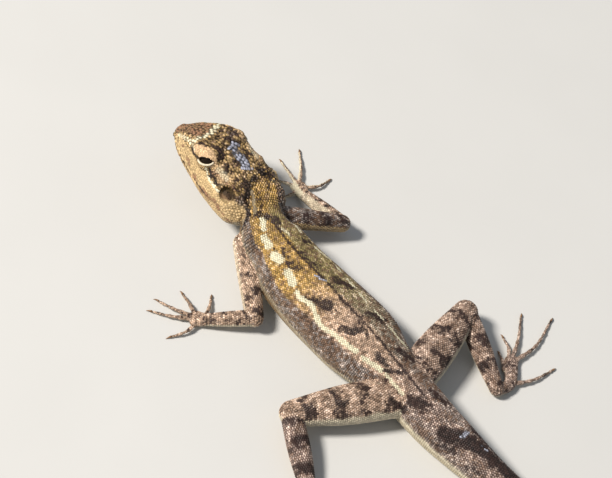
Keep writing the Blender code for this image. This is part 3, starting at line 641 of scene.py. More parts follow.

# The crease along the backbone, darkened with painted shade
MIDLINE = ((1.4, -31.3, 14.8), (1.9, -25.8, 14.7), (1.5, -18.2, 14.2), (0.8, -13.0, 13.8), (0.1, -8.2, 13.5),
           (0.0, -3.9, 13.3), (-0.4, 1.5, 13.1), (-0.9, 6.8, 12.8), (-1.3, 11.0, 12.4), (-1.3, 18.1, 11.8),
           (-1.1, 28.3, 11.5))
MIDLINE_REACH, MIDLINE_PAINTED_SHADE = 0.5, 0.9

# Along the back: where the gold ends, where the reddish ground and the olive of the right side start, where
# the hips lie, where the grey of the flanks starts and ends, where the grey of the right side starts and
# where the grey ends, and the bands of the tail. The olive and grey of the right side are painted shade.
GOLD_ENDS, CLAY_STARTS, OLIVE_STARTS, HIPS = (-14.0, 2.0), (8.0, 32.0), (-36.0, -30.0), (14.0, 24.0)
FLANK_STARTS, FLANK_ENDS, RIGHT_SHADE_GREY_STARTS, GREY_ENDS = (-42.0, -34.0), (20.0, 34.0), (-4.0, 12.0), 62.0
BANDS_START, BAND_MIDDLE, BAND_SPACING, BAND_EDGE, BAND_DARK = 58.0, 64.0, 11.0, (0.45, 0.8), 0.8

# Round the body, in degrees from the top: where the olive right side, painted shade, starts, where the hips
# turn grey and then pale, and, for places along the back, where the flank and the belly start
RIGHT_SHADE_EDGE, GREY_HIPS, PALE_HIPS = (-2.0, -9.0), (34.0, 60.0), (78.0, 100.0)
RIGHT_SHADE_GREY, HIP_GREY, HIP_PALE, HIP_FADE = 0.6, 0.5, 0.9, 0.4
FLANK_EDGE = ((-24.0, -14.0, -4.0, 30.0), (46.0, 56.0, 47.0, 42.0))
BELLY_EDGE = ((-28.0, -14.0, 0.0, 16.0), (84.0, 92.0, 101.0, 104.0))
BELLY_SHADE_ALONG, BELLY_MIDDLE = ((-14.0, -4.0, 8.0), (1.0, 0.75, 0.45)), (150.0, 110.0)

# Degrees past those edges: the flank; the belly, its brown side, which is painted shade, and the pale flush
# above it, which has its strength first
FLANK_SIDE, BELLY_SIDE, SHADED_BELLY_SIDE = (0.0, 6.0), (3.0, 9.0), (-10.0, 0.0)
FAINT_FLUSH, STRONG_FLUSH = (0.12, -34.0, -8.0), (0.6, -7.0, -3.0)

# Strokes on the head, in its own frame and alike on both sides
HEAD_MARKS = (
    (BROWN, 1.0, 2.3, ((-0.6, 0.0, 1.6), (-3.2, 0.0, 4.0))),
    (BROWN, 1.0, 3.0, ((-3.6, 0.0, 4.2), (-5.6, 0.6, 5.2))),
    (OCHRE, 1.0, 2.3, ((-2.0, 4.0, 0.4), (-5.8, 5.6, 0.6), (-9.0, 6.9, 1.0), (-12.5, 8.0, 0.4),
                       (-15.0, 8.5, 0.2), (-17.5, 9.0, 0.0), (-20.0, 9.5, -0.4), (-22.8, 9.8, -0.8),
                       (-25.3, 9.4, -0.6), (-27.1, 8.5, -1.0))),
    (OCHRE, 0.9, 3.0, ((-24.6, 9.0, -2.4), (-10.0, 6.0, -3.4))),
    (BROWN, 0.5, 0.9, ((-4.2, 5.4, -2.4), (-9.0, 7.0, -3.0), (-12.0, 8.0, -3.2))),
    (CREAM, 0.45, 0.5, ((-1.5, 2.6, 1.5), (-3.8, 4.0, 3.3), (-7.1, 5.3, 5.1), (-8.7, 6.2, 4.7))),
    (CREAM, 0.9, 0.62, ((-8.1, -3.2, 6.1), (-8.4, -1.2, 6.1), (-8.0, 1.1, 6.0), (-7.6, 3.5, 6.0),
                        (-7.4, 4.7, 5.8))),
    (DARK, 1.0, 0.36, ((-7.8, 5.8, 4.5), (-8.9, 6.3, 3.7), (-10.1, 6.8, 3.8), (-11.2, 7.6, 4.6))),
    (DARK, 0.8, 0.5, ((-9.5, 5.0, 6.5), (-9.2, 2.7, 6.2), (-10.1, 0.9, 6.3), (-11.4, 0.0, 6.4),
                      (-12.8, -0.4, 6.3))),
    (PEACH, 0.45, 1.3, ((-9.4, 6.2, 5.6), (-12.0, 5.6, 7.0), (-14.4, 6.2, 6.6))),
    (DARK, 0.95, 1.15, ((-12.4, 2.4, 6.4), (-14.3, 2.7, 6.0), (-14.9, 4.0, 6.2))),
    (DARK, 0.6, 0.5, ((-10.2, 4.4, 6.8), (-11.6, 4.0, 6.9))),
    (DARK, 0.8, 0.6, ((-17.0, 1.5, 5.4), (-18.4, 1.4, 5.1))),
    (DARK, 0.8, 0.9, ((-17.3, 3.7, 5.2), (-18.8, 4.8, 4.6))),
    (PEACH, 0.55, 1.2, ((-16.7, 6.4, 4.8), (-18.5, 5.9, 4.5), (-20.2, 6.0, 4.1), (-18.9, 7.2, 3.6))),
    (CREAM, 1.0, 0.36, ((-14.3, 7.9, 3.8), (-14.9, 7.9, 3.1), (-16.1, 8.4, 2.1), (-18.4, 8.8, 1.6),
                        (-20.3, 9.1, 1.4))),
    (DARK, 1.05, 0.36, ((-15.0, 7.4, 4.4), (-16.4, 7.8, 3.1), (-18.3, 8.2, 2.5), (-19.8, 8.2, 2.5))),
    (BROWN, 0.7, 1.1, ((-17.2, 7.0, 3.9), (-19.2, 7.4, 3.5))),
    (CREAM, 0.4, 0.9, ((-17.2, 6.3, 4.8), (-19.6, 6.2, 4.2))),
    # Painted shade inside the nostril
    (DARK, 1.2, 0.5, (NOSTRIL_PLACE,)),
    (BROWN, 1.0, 1.9, (EAR_PLACE,)),
    # Painted shade on the top and front of the ear's pit, under its rim
    (DARK, 1.1, 0.5, ((-20.6, 8.7, 1.1), (-20.8, 7.9, 2.6), (-22.2, 7.5, 3.4), (-24.0, 7.6, 3.0))),
    (CREAM, 0.9, 0.36, ((-22.4, 9.1, 0.9), (-23.4, 8.5, 1.3), (-24.3, 7.9, 1.5))),
    (BROWN, 0.8, 0.55, ((-4.8, 4.9, 1.3),)),
    (BROWN, 0.8, 0.6, ((-8.0, 6.3, 0.5), (-9.4, 7.0, 0.2))),
    (BROWN, 0.9, 0.6, ((-11.9, 7.8, -1.1), (-13.6, 8.5, -1.7))),
    (BROWN, 1.0, 0.7, ((-15.0, 8.9, -2.0), (-17.2, 9.3, -2.2))),
    (BROWN, 1.0, 0.75, ((-18.4, 9.5, -1.9), (-20.9, 9.8, -1.6), (-22.0, 9.9, -2.2))),
    (BROWN, 0.9, 0.45, ((-23.0, 9.9, -2.4), (-25.2, 9.8, -3.2), (-26.6, 9.0, -4.6))),
    (BROWN, 0.7, 0.35, ((-24.2, 9.8, -4.0), (-25.8, 9.2, -5.0))),
    (OLIVE, 0.15, 1.9, ((-26.4, 9.4, -3.3), (-27.9, 7.7, -5.0))),
    # Painted shade in the fold behind the angle of the jaw
    (DARK, 0.9, 0.7, ((-29.1, 7.4, 0.1), (-30.1, 9.1, -1.1), (-30.2, 9.6, -2.5))),
    (DARK, 0.5, 0.9, ((-22.9, 6.1, 3.0), (-24.6, 5.0, 2.7))),
    (DARK, 1.05, 1.0, ((-23.8, 2.8, 3.6), (-25.0, 3.6, 3.0), (-25.6, 4.6, 2.4))),
    (PALE, 0.9, 0.5, ((-26.4, 3.3, 2.9), (-28.3, 4.9, 1.9), (-30.3, 6.5, 1.6), (-31.4, 7.0, 1.4))),
    (OLIVE, 0.9, 0.6, ((-26.4, 3.3, 2.9), (-28.3, 4.9, 1.9), (-30.3, 6.5, 1.6), (-31.4, 7.0, 1.4))),
    (DARK, 1.05, 0.6, ((-25.8, 5.1, 2.1), (-27.6, 6.1, 0.9), (-29.7, 7.6, 0.4))),
    (FLANK, 0.8, 1.2, ((-25.5, 6.7, 1.4), (-26.3, 7.7, 0.5), (-27.3, 7.2, 0.2))),
    (DARK, 0.55, 1.1, ((-22.6, 4.2, 4.2), (-24.4, 3.4, 3.4))),
    (BROWN, 0.6, 0.9, ((-20.8, 6.6, 3.8), (-22.6, 6.9, 3.2))),
)

# Strokes on the crown, which differ from side to side
CROWN_MARKS = (
    (PEACH, 1.0, 1.35, ((-9.4, 6.2, 5.6), (-10.3, 5.9, 6.7), (-12.0, 5.8, 7.0), (-13.8, 6.0, 6.9),
                        (-11.6, 7.2, 6.2))),
    (PEACH, 0.9, 0.9, ((-14.9, 6.4, 6.2), (-12.0, 7.8, 5.6))),
    (DARK, 0.8, 0.9, ((-11.0, -4.6, 6.9), (-13.0, -4.2, 6.8))),
    (BLUE, 1.0, 1.8, ((-15.2, -1.7, 5.9), (-17.2, -0.9, 5.6), (-20.4, -0.7, 4.9))),
    (DARK, 0.6, 0.5, ((-16.0, -3.4, 5.6), (-18.4, -2.8, 5.3), (-20.8, -2.9, 4.7))),
    (DARK, 0.7, 0.5, ((-15.6, 0.4, 5.9), (-17.6, 0.7, 5.5), (-19.6, 1.1, 5.1))),
    (DARK, 0.9, 0.8, ((-23.9, -0.4, 4.0), (-24.6, 1.4, 3.7))),
    (DARK, 0.9, 0.9, ((-23.2, -3.3, 3.9), (-25.8, -3.5, 3.3))),
    (DARK, 0.8, 0.6, ((-27.0, -2.0, 3.4), (-29.4, -1.0, 3.2))),
    (DARK, 0.7, 0.5, ((-26.6, 1.8, 3.2), (-28.6, 3.2, 2.8), (-30.4, 4.6, 2.2))),
)

# Grounds of the head, how near the line of the mouth the painted shade of its groove lies, and how low the
# throat's colours start
HEAD_GOLD, HEAD_OLIVE, MARKS_BACK = 0.75, 0.25, -36.0
MOUTH_PAINTED_SHADE, MOUTH_SHADE_EDGE = 0.95, (0.32, 0.16)
THROAT_EDGE, THROAT_PALE, THROAT_OLIVE = (-2.6, -4.6), 0.9, 0.45

# Bars across the limbs: how far down each part, the bar's half width and its strength
LIMB_BARS = (
    ((0.18, 1.0, 0.4), (0.44, 1.2, 0.6), (0.72, 1.8, 0.85), (0.94, 1.2, 0.7)),
    ((0.18, 0.7, 0.75), (0.42, 0.7, 0.75), (0.66, 0.8, 0.75), (0.92, 0.7, 0.65)),
    ((0.12, 1.0, 0.5), (0.32, 1.7, 0.75), (0.57, 1.8, 0.8), (0.86, 1.6, 0.75)),
    ((0.12, 1.2, 0.8), (0.40, 1.9, 0.95), (0.72, 1.9, 0.9), (0.96, 1.2, 0.8)),
)
BAR_GRAIN, BAR_REACH, BAR_EDGE, BAR_USUAL, BAR_SPREAD, BAR_MOST = 2.0, 1.6, (0.6, 1.3), 0.75, 1.1, 1.2
SMALL_BAR, SMALL_BAR_START, SMALL_BAR_SPACING = (0.5, 0.55), 1.0, 2.3

# Each limb's ground: how reddish and how grey it is, what its underside shows and how strongly, and the
# turns from the top, one to each side, past which it shows. The edge is so many degrees wide. Some of it
# is painted light and shade: the left shank's full reddish ground is partly painted shade, the right upper
# arm's grey is painted shade and its ochre underside a painted reflection, and the right hand and its
# fingers are painted pale as painted light.
LIMB_GROUNDS_AND_PAINTED_LIGHT = {
    ("limb", 0): (0.05, 0.0, PALE, 0.5, -112.0, 62.0), ("limb", 1): (0.1, 0.0, PALE, 0.75, -80.0, 100.0),
    # The left shank's full reddish ground is partly painted shade
    ("limb", 2): (0.3, 0.0, PALE, 0.75, -62.0, 110.0), ("limb", 3): (1.0, 0.0, OCHRE, 0.75, -105.0, 105.0),
    # The right upper arm's grey is painted shade, its ochre underside a painted reflection
    ("limb", 4): (0.2, 1.0, OCHRE, 0.75, -110.0, 58.0), ("limb", 5): (0.3, 0.0, PALE, 0.55, -8.0, 120.0),
    ("limb", 6): (0.6, 0.0, PALE, 0.75, -100.0, 64.0), ("limb", 7): (0.7, 0.0, PALE, 0.75, -100.0, 100.0),
    ("paw", 0): (0.1, 0.0, PALE, 0.75, -105.0, 105.0), ("paw", 1): (0.9, 0.0, OCHRE, 0.75, -105.0, 105.0),
    # The right hand is painted pale as painted light
    ("paw", 2): (0.0, 0.0, PALE, 0.9, -20.0, 105.0), ("paw", 3): (0.9, 0.0, PALE, 0.75, -105.0, 105.0),
}
# The right hand's fingers, the third of these, are painted pale as painted light
for hand, ground in enumerate(((0.1, 0.0, PALE, 0.75, -105.0, 105.0), (0.7, 0.0, PALE, 0.75, -105.0, 105.0),
                               (0.0, 0.0, PALE, 0.8, -10.0, 105.0), (0.7, 0.0, PALE, 0.75, -105.0, 105.0))):
    LIMB_GROUNDS_AND_PAINTED_LIGHT |= {("digit", 5 * hand + digit): ground for digit in range(5)}
UNDER_EDGE = 14.0


def speckle(points, grain, seed):
    """Smooth random values from about -1 to 1 that change over a grain in millimetres."""
    return np.array([noise.noise(Vector(place)) for place in points / grain + seed])


def line_place(points, rows):
    """Along a bent line from 0 to 1, how far out in radii, and the turn from the top in degrees."""
    corners = [0, len(rows) // 2, len(rows) - 1]
    along, out = np.zeros(len(points)), np.full(len(points), np.inf)
    for start, end in zip(corners[:-1], corners[1:]):
        run = rows[end, :3] - rows[start, :3]
        share = np.clip((points - rows[start, :3]) @ run / (run @ run), 0.0, 1.0)
        row = start + share * (end - start)
        radius = np.interp(row, np.arange(len(rows)), rows[:, 3])
        distance = np.linalg.norm(points - rows[start, :3] - share[:, None] * run, axis=1) / radius
        along, out = np.where(distance < out, row / corners[-1], along), np.minimum(out, distance)
    row = np.rint(along * corners[-1]).astype(int)
    left, up = sideways(rows[:, -3:])
    away = points - rows[row, :3]
    turn = np.degrees(np.arctan2((away * left[row]).sum(1), (away * up[row]).sum(1)))
    return along, out, turn


body_tree = KDTree(len(body_rows))
for number, row in enumerate(body_rows):
    body_tree.insert(Vector(row[:3]), number)
body_tree.balance()
body_left, body_up = sideways(body_rows[:, -3:])


def body_place(points):
    """Where points lie by the body's line: its row, how far out in radii, and the turn from the top."""
    row = np.array([body_tree.find(Vector(place))[1] for place in points])
    away = points - body_rows[row, :3]
    across = (away * body_left[row]).sum(1) / body_rows[row, 3]
    rise = (away * body_up[row]).sum(1)
    rise /= np.where(rise > 0.0, body_rows[row, 4], body_rows[row, 5])
    return row, np.hypot(across, rise), np.degrees(np.arctan2(across, rise))


limb_family = [(family, number, rows)
               for family, lines in (("limb", limb_lines), ("paw", paw_lines), ("digit", digit_lines))
               for number, rows in enumerate(lines)]
FIRST_PAW, FIRST_DIGIT = len(limb_lines), len(limb_lines) + len(paw_lines)


def parts_at(points):
    """The part that each point lies on (-2 the head, -1 the body, else a limb piece), with its places."""
    head = into_head(points)
    row, out, turn = body_place(points)
    along = row / len(body_rows)
    part = np.full(len(points), -1)
    near_head = head_out(head)
    chosen = near_head < out
    part[chosen], out = -2, np.minimum(out, near_head)
    for number, (_, _, rows) in enumerate(limb_family):
        limb_along, limb_out, limb_turn = line_place(points, rows)
        chosen = limb_out < out
        part[chosen], along[chosen] = number, limb_along[chosen]
        turn[chosen], out[chosen] = limb_turn[chosen], limb_out[chosen]
    return part, along, turn, head


def markings(points):
    """The share of each marking at each point, from 0 to 1, and the part that it lies on."""
    shares = {name: np.zeros(len(points)) for name in MARK_NAMES}
    part, along, turn, head = parts_at(points)
    wander = np.stack([speckle(points, RAGGED_GRAIN, seed) for seed in RAGGED_SEEDS], axis=1)
    broad = speckle(points, BROAD_GRAIN, BROAD_SEED)
    body, on_head, back, lean = part == -1, part == -2, points[:, 1], np.abs(turn)

    def cover(kind, values, here=slice(None)):
        shares[kind][here] = np.maximum(shares[kind][here], values)

    def cover_strokes(strokes, places, most_ragged, here):
        for kind, strength, wide, stroke in strokes:
            ragged = wander * RAGGED[kind] * min(most_ragged, wide)
            share = 1.0 - smooth_step(*EDGES[kind], to_stroke(places + ragged, stroke) / wide)
            cover(kind, strength * share * here)

    # Grounds of the trunk and tail, with edges that wander. The olive and the grey over the right side are
    # painted shade of the side away from the light.
    hips = smooth_step(*HIPS, back)
    wandered = back + BACK_WANDER * broad
    right = smooth_step(*RIGHT_SHADE_EDGE, turn + BACK_WANDER * broad)
    cover(GOLD, (1.0 - smooth_step(*GOLD_ENDS, wandered)) * body)
    cover(CLAY, smooth_step(*CLAY_STARTS, wandered) * body)
    cover(OLIVE, right * (1 - HIP_FADE * hips) * smooth_step(*OLIVE_STARTS, back) * body)
    flank = smooth_step(*FLANK_SIDE, lean + FLANK_WANDER * broad - np.interp(back, *FLANK_EDGE))
    cover(FLANK, flank * (1 - smooth_step(*FLANK_ENDS, back)) * smooth_step(*FLANK_STARTS, back) * body)
    # Painted shade: grey over the right side, joined by the hips' own grey
    right_shade_grey = RIGHT_SHADE_GREY * right * smooth_step(*RIGHT_SHADE_GREY_STARTS, back)
    grey_hips_and_right_shade = right_shade_grey + HIP_GREY * hips * smooth_step(*GREY_HIPS, turn)
    cover(FLANK, grey_hips_and_right_shade * (body & (back < GREY_ENDS)))
    past_edge = lean - np.interp(back, *BELLY_EDGE)
    under = smooth_step(*BELLY_SIDE, past_edge)
    flush = sum(most * smooth_step(low, high, past_edge) for most, low, high in (FAINT_FLUSH, STRONG_FLUSH))
    cover(PALE, np.maximum(under, flush * (back > OLIVE_STARTS[0]) * (1 - hips)) * body)
    cover(PALE, HIP_PALE * hips * smooth_step(*PALE_HIPS, lean + HIP_WANDER * broad) * body)
    # The belly's side is painted olive brown as shade, strongest towards the front
    shaded_belly_side = smooth_step(*SHADED_BELLY_SIDE, past_edge) * np.interp(back, *BELLY_SHADE_ALONG)
    cover(OLIVE, shaded_belly_side * smooth_step(*BELLY_MIDDLE, lean) * body)

    # Marks of the trunk and tail
    cover_strokes(TRUNK_MARKS, points, RAGGED_MOST, part != -2)
    # Painted shade along the crease of the backbone
    cover(DARK, MIDLINE_PAINTED_SHADE * np.exp(-(to_stroke(points, MIDLINE) / MIDLINE_REACH) ** 2) * body)
    bands = 0.5 + 0.5 * np.cos(2 * np.pi * (back - BAND_MIDDLE) / BAND_SPACING + BAND_WANDER * broad)
    cover(DARK, BAND_DARK * smooth_step(*BAND_EDGE, bands) * (1 - under) * (body & (back > BANDS_START)))

    # Grounds and marks of the head
    cover(GOLD, HEAD_GOLD * on_head)
    cover(OLIVE, HEAD_OLIVE * on_head)
    near = head[:, 0] > MARKS_BACK
    cover_strokes(HEAD_MARKS, both_sides(head), RAGGED_ON_HEAD, near)
    cover_strokes(CROWN_MARKS, head, RAGGED_ON_HEAD, near)
    # Painted shade in the groove of the mouth
    cover(DARK, MOUTH_PAINTED_SHADE * smooth_step(*MOUTH_SHADE_EDGE, from_mouth(head)) * on_head)
    throat = smooth_step(*THROAT_EDGE, head[:, 2] + broad) * on_head
    cover(PALE, THROAT_PALE * throat)
    cover(OLIVE, THROAT_OLIVE * throat)

    # Grounds and bars of the limbs and digits, with the painted light and shade of some of them
    wobble = BAR_REACH * speckle(points, BAR_GRAIN, BAR_SEED)
    for number, (family, index, rows) in enumerate(limb_family):
        here = part == number
        length = len(rows) * np.linalg.norm(rows[1, :3] - rows[0, :3])
        place = along[here] * length + wobble[here]
        bars = [(step / length, *SMALL_BAR) for step in np.arange(SMALL_BAR_START, length, SMALL_BAR_SPACING)]
        dark = np.zeros(here.sum())
        for share, wide, strength in LIMB_BARS[index % 4] if family == "limb" else bars:
            past_bar = smooth_step(*BAR_EDGE, np.abs(place - share * length) / wide)
            dark = np.maximum(dark, strength * (1.0 - past_bar))
        breaks = BAR_USUAL + BAR_SPREAD * speckle(points[here], BREAK_GRAIN, BREAK_SEED)
        dark *= np.clip(breaks, 0.0, BAR_MOST)
        clay, painted_shade_grey, under_kind, strength, low_side, high_side = LIMB_GROUNDS_AND_PAINTED_LIGHT[family, index]
        round_it = turn[here] + LIMB_WANDER * broad[here]
        below = np.maximum(smooth_step(high_side, high_side + UNDER_EDGE, round_it),
                           smooth_step(low_side, low_side - UNDER_EDGE, round_it))
        cover(DARK, dark * (1 - below), here)
        cover(CLAY, clay, here)
        # Grey painted shade
        cover(FLANK, painted_shade_grey, here)
        cover(under_kind, strength * below, here)
    return shares, part


# The skin and its scales share one dry, faintly glossy finish. It mixes the ground colours and the
# marks, darkens the gaps between scales with painted shade, lightens their crests with painted
# highlights, and varies from scale to scale.
PINK_TAN, GOLD_SKIN, OLIVE_SKIN_AND_SHADE = (0.65, 0.44, 0.30), (0.57, 0.345, 0.09), (0.26, 0.225, 0.10)
FLANK_GREY_AND_SHADE, CLAY_SKIN, PALE_SKIN_AND_PAINTED_LIGHT = (0.32, 0.265, 0.24), (0.26, 0.17, 0.14), (0.66, 0.60, 0.44)
OCHRE_AND_PAINTED_REFLECTION, CREAM_SPOT, BELLY_OLIVE_AND_SHADE = (0.56, 0.40, 0.205), (0.80, 0.74, 0.53), (0.17, 0.11, 0.055)
PALE_SPECK_AND_HIGHLIGHT, WARM_BROWN, DARK_BROWN_AND_SHADE = (0.80, 0.66, 0.56), (0.12, 0.066, 0.038), (0.028, 0.014, 0.012)
SNOUT_BROWN, BLUE_GREY, PEACH_LID = (0.24, 0.125, 0.07), (0.33, 0.34, 0.41), (0.69, 0.47, 0.27)
GAP_ROUGHNESS, TIP_POLISH, BUMP_SHARE, BUMP_DEPTH, BUMP_GRAIN = 0.62, 0.27, 0.25, 0.05, 0.16
SPECK_GRAIN, MOTTLE_GRAIN, BLOTCH_GRAIN, SKIN_TONE, SKIN_CREST, PAW_CREST = 0.45, 0.95, 2.8, 0.4, 0.1, 0.5


class Value:
    """A number on its way through a material's nodes."""

    def __init__(self, finish, socket):
        self.finish, self.socket = finish, socket

    def maths(self, operation, *values):
        socket = self.finish.node("ShaderNodeMath", {"operation": operation}, dict(enumerate(values)))
        return Value(self.finish, socket)

    def __add__(self, other):
        return self.maths("ADD", self, other)

    def __sub__(self, other):
        return self.maths("SUBTRACT", self, other)

    def __rsub__(self, other):
        return self.maths("SUBTRACT", other, self)

    def __mul__(self, other):
        return self.maths("MULTIPLY", self, other)

    __radd__, __rmul__ = __add__, __mul__


class Finish:
    """A material under way, with its Principled surface."""

    def __init__(self, name, **constants):
        self.material = bpy.data.materials.new(name)
        self.material.use_nodes = True
        self.tree = self.material.node_tree
        self.surface = self.tree.nodes["Principled BSDF"]
        for socket, value in constants.items():
            self.surface.inputs[socket.replace("_", " ")].default_value = value

    def feed(self, socket, value):
        if isinstance(value, Value):
            value = value.socket
        if isinstance(value, bpy.types.NodeSocket):
            self.tree.links.new(value, socket)
        elif isinstance(value, tuple) and len(socket.default_value) == 4:
            socket.default_value = (*value, 1.0)
        else:
            socket.default_value = value

    def node(self, kind, settings, sockets, output=0):
        node = self.tree.nodes.new(kind)
        for name, value in settings.items():
            setattr(node, name, value)
        for name, value in sockets.items():
            self.feed(node.inputs[name], value)
        return node.outputs[output]

    def attribute(self, name):
        return Value(self, self.node("ShaderNodeAttribute", {"attribute_name": name}, {}, "Fac"))

    def noise(self, grain, detail=3.0):
        """Smooth random values round a half, over a grain in millimetres."""
        sockets = {"Vector": self.node("ShaderNodeTexCoord", {}, {}, "Object"),
                   "Scale": 1.0 / (grain * MM), "Detail": detail}
        return Value(self, self.node("ShaderNodeTexNoise", {}, sockets, "Fac"))

    def mix(self, under, over, share):
        return self.node("ShaderNodeMix", {"data_type": "RGBA"}, {0: share, 6: under, 7: over}, 2)

    def patchy(self, value, low, high):
        """Where a value passes from low to high, from 0 to 1."""
        settings = {"interpolation_type": "SMOOTHSTEP"}
        return Value(self, self.node("ShaderNodeMapRange", settings, {0: value, 1: low, 2: high}))

    def shade(self, colour, amount):
        """A colour made lighter or darker by a value."""
        return self.node("ShaderNodeVectorMath", {"operation": "SCALE"}, {"Vector": colour, "Scale": amount})


hide = Finish("scaly hide", Specular_IOR_Level=0.26)
marks = {name: hide.attribute(name) for name in MARK_NAMES}
tone, crest = hide.attribute("tone"), hide.attribute("crest")
fine, mottle, blotch = hide.noise(SPECK_GRAIN, 2.0), hide.noise(MOTTLE_GRAIN), hide.noise(BLOTCH_GRAIN)
patchy = hide.patchy

# Paints over the pinkish tan, each with its share: grounds, painted highlights on the scales' crests and
# pale specks, warm freckles, the pale and ochre of belly and lips, and the marks, which break up where
# scales differ in tone
scatter = mottle + (blotch - 0.5) * 0.7 + (tone - 0.5) * 0.22
painted_crest_highlight = patchy(crest, 0.62, 0.92) * (0.24 + 0.36 * marks[CLAY] + 0.1 * marks[FLANK])
freckles = patchy(scatter + 0.1 * marks[FLANK], 0.48, 0.64)
snout = patchy(marks[BROWN] + (mottle - 0.5) * 1.3 + (tone - 0.5) * 0.5, 0.25, 0.9)
colour = PINK_TAN
for paint, share in (
        (GOLD_SKIN, marks[GOLD]),
        # Olive: the head's own colour, and painted shade over the right side
        (OLIVE_SKIN_AND_SHADE, marks[OLIVE] * 0.8),
        (CLAY_SKIN, marks[CLAY]),
        # Grey: the flanks' own colour, and painted shade over the right side and the right upper arm
        (FLANK_GREY_AND_SHADE, marks[FLANK]),
        # Painted highlights on the crests of the scales
        (PALE_SPECK_AND_HIGHLIGHT, painted_crest_highlight * (1 - 0.6 * marks[GOLD])),
        (PALE_SPECK_AND_HIGHLIGHT, patchy(fine + tone * 0.35, 0.74, 0.92) * (0.7 - 0.4 * marks[GOLD])),
        (WARM_BROWN, freckles * (0.74 + 0.2 * marks[FLANK] + 0.1 * marks[OLIVE])),
        (PALE_SKIN_AND_PAINTED_LIGHT, marks[PALE]),
        # Olive brown over the pale: painted shade on the belly's side, and the throat's colour
        (BELLY_OLIVE_AND_SHADE, marks[PALE] * marks[OLIVE]),
        (OCHRE_AND_PAINTED_REFLECTION, marks[OCHRE]),
        (SNOUT_BROWN, snout * (0.6 + 0.4 * tone)),
        (PEACH_LID, marks[PEACH] * (0.55 + 0.9 * (1 - mottle) * (1 - tone * 0.5))),
        # Dark brown: the marks' own colour, and painted shade in creases, the nostrils and the ear pits
        (DARK_BROWN_AND_SHADE, patchy(marks[DARK] + (mottle - 0.5) * 1.1 + (tone - 0.5) * 0.7, 0.3, 0.75) * 0.95),
        (BLUE_GREY, patchy(marks[BLUE] * (0.1 + fine + 0.8 * tone), 0.45, 0.85)),
        (CREAM_SPOT, marks[CREAM])):
    colour = hide.mix(colour, paint, share)

# Painted shade darkens the gaps between scales and each scale towards its root, but less on the smooth
# pale skin, where scales also differ less
smooth_share = marks[PALE] + marks[OCHRE] + marks[PEACH]
painted_gap_shade_level = 0.1 + 0.5 * patchy(smooth_share, 0.2, 0.9)
uneven = 1.2 - 0.8 * patchy(smooth_share + marks[CREAM], 0.2, 0.9)
colour = hide.shade(colour, (painted_gap_shade_level + (1.1 - painted_gap_shade_level) * crest) * (1 + uneven * (tone - 0.5)))
hide.feed(hide.surface.inputs["Base Color"], colour)
hide.feed(hide.surface.inputs["Roughness"], GAP_ROUGHNESS - TIP_POLISH * crest)
sockets = {"Strength": BUMP_SHARE, "Distance": BUMP_DEPTH * MM, "Height": hide.noise(BUMP_GRAIN)}
grain_bump = hide.node("ShaderNodeBump", {}, sockets)
hide.feed(hide.surface.inputs["Normal"], grain_bump)


def set_shares(mesh, shares):
    for name, values in shares.items():
        attribute = mesh.attributes.new(name, "FLOAT", "POINT")
        attribute.data.foreach_set("value", np.ascontiguousarray(values, dtype=np.float32))


skin_shares, part = markings(points)
skin_shares["tone"] = np.full(len(points), SKIN_TONE)
# The bare skin lies in the gaps between scales, so it takes their painted shade, less on paws and digits
skin_shares["crest"] = np.where(part < FIRST_PAW, SKIN_CREST, PAW_CREST)
set_shares(skin.data, skin_shares)
skin.data.materials.append(hide.material)
skin_tree = BVHTree.FromPolygons(points.tolist(), [tuple(face.vertices) for face in skin.data.polygons])

FLESH_NODES = ["head", "lower_jaw", "neck", "torso", "tail_base", "tail_front", "tail_rear", "tail_tip"]
FLESH_NODES += [part + side for part in ("upper_arm", "forearm", "hand", "thigh", "shank", "foot")
                for side in ("_left", "_right")]


def finished(piece, slot, *nodes):
    """A piece brought to metres, smooth, riding on the animal and standing for its solids."""
    piece.data.transform(Matrix.Scale(MM, 4))
    piece.data.shade_smooth()
    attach(piece, "root")
    if nodes:
        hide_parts(*nodes)


finished(skin, "skin", *FLESH_NODES)

# Small scales cover the skin like tiles, roots towards the head and tips towards the tail: ridged and
# in slanting rows on the trunk, tail and limbs, small and domed on the head. They are separate plates
# of horn, in joined meshes.
SCALE_SIZES = {"trunk": 0.57, "tail": 0.72, "tail tip": 0.42, "limb": 0.64, "paw": 0.52, "digit": 0.42}
NAPE_SCALE, NECK_SCALE, NAPE_SHARES, TRUNK_ROWS, TAIL_SHARE = 0.66, 0.56, (0.04, 0.07), 95, 0.12
ROW_SHARE, RING_SIDES, RING_FLOOR, COUNT_SLACK, LEAST_COUNT = 0.84, 240, 0.1, 0.13, 5
SKIN_REACH, COVER_LIMIT, HEAD_EDGE, CROWDING = 0.7, 0.34, 1.06, 0.62
random_state = np.random.default_rng(11)


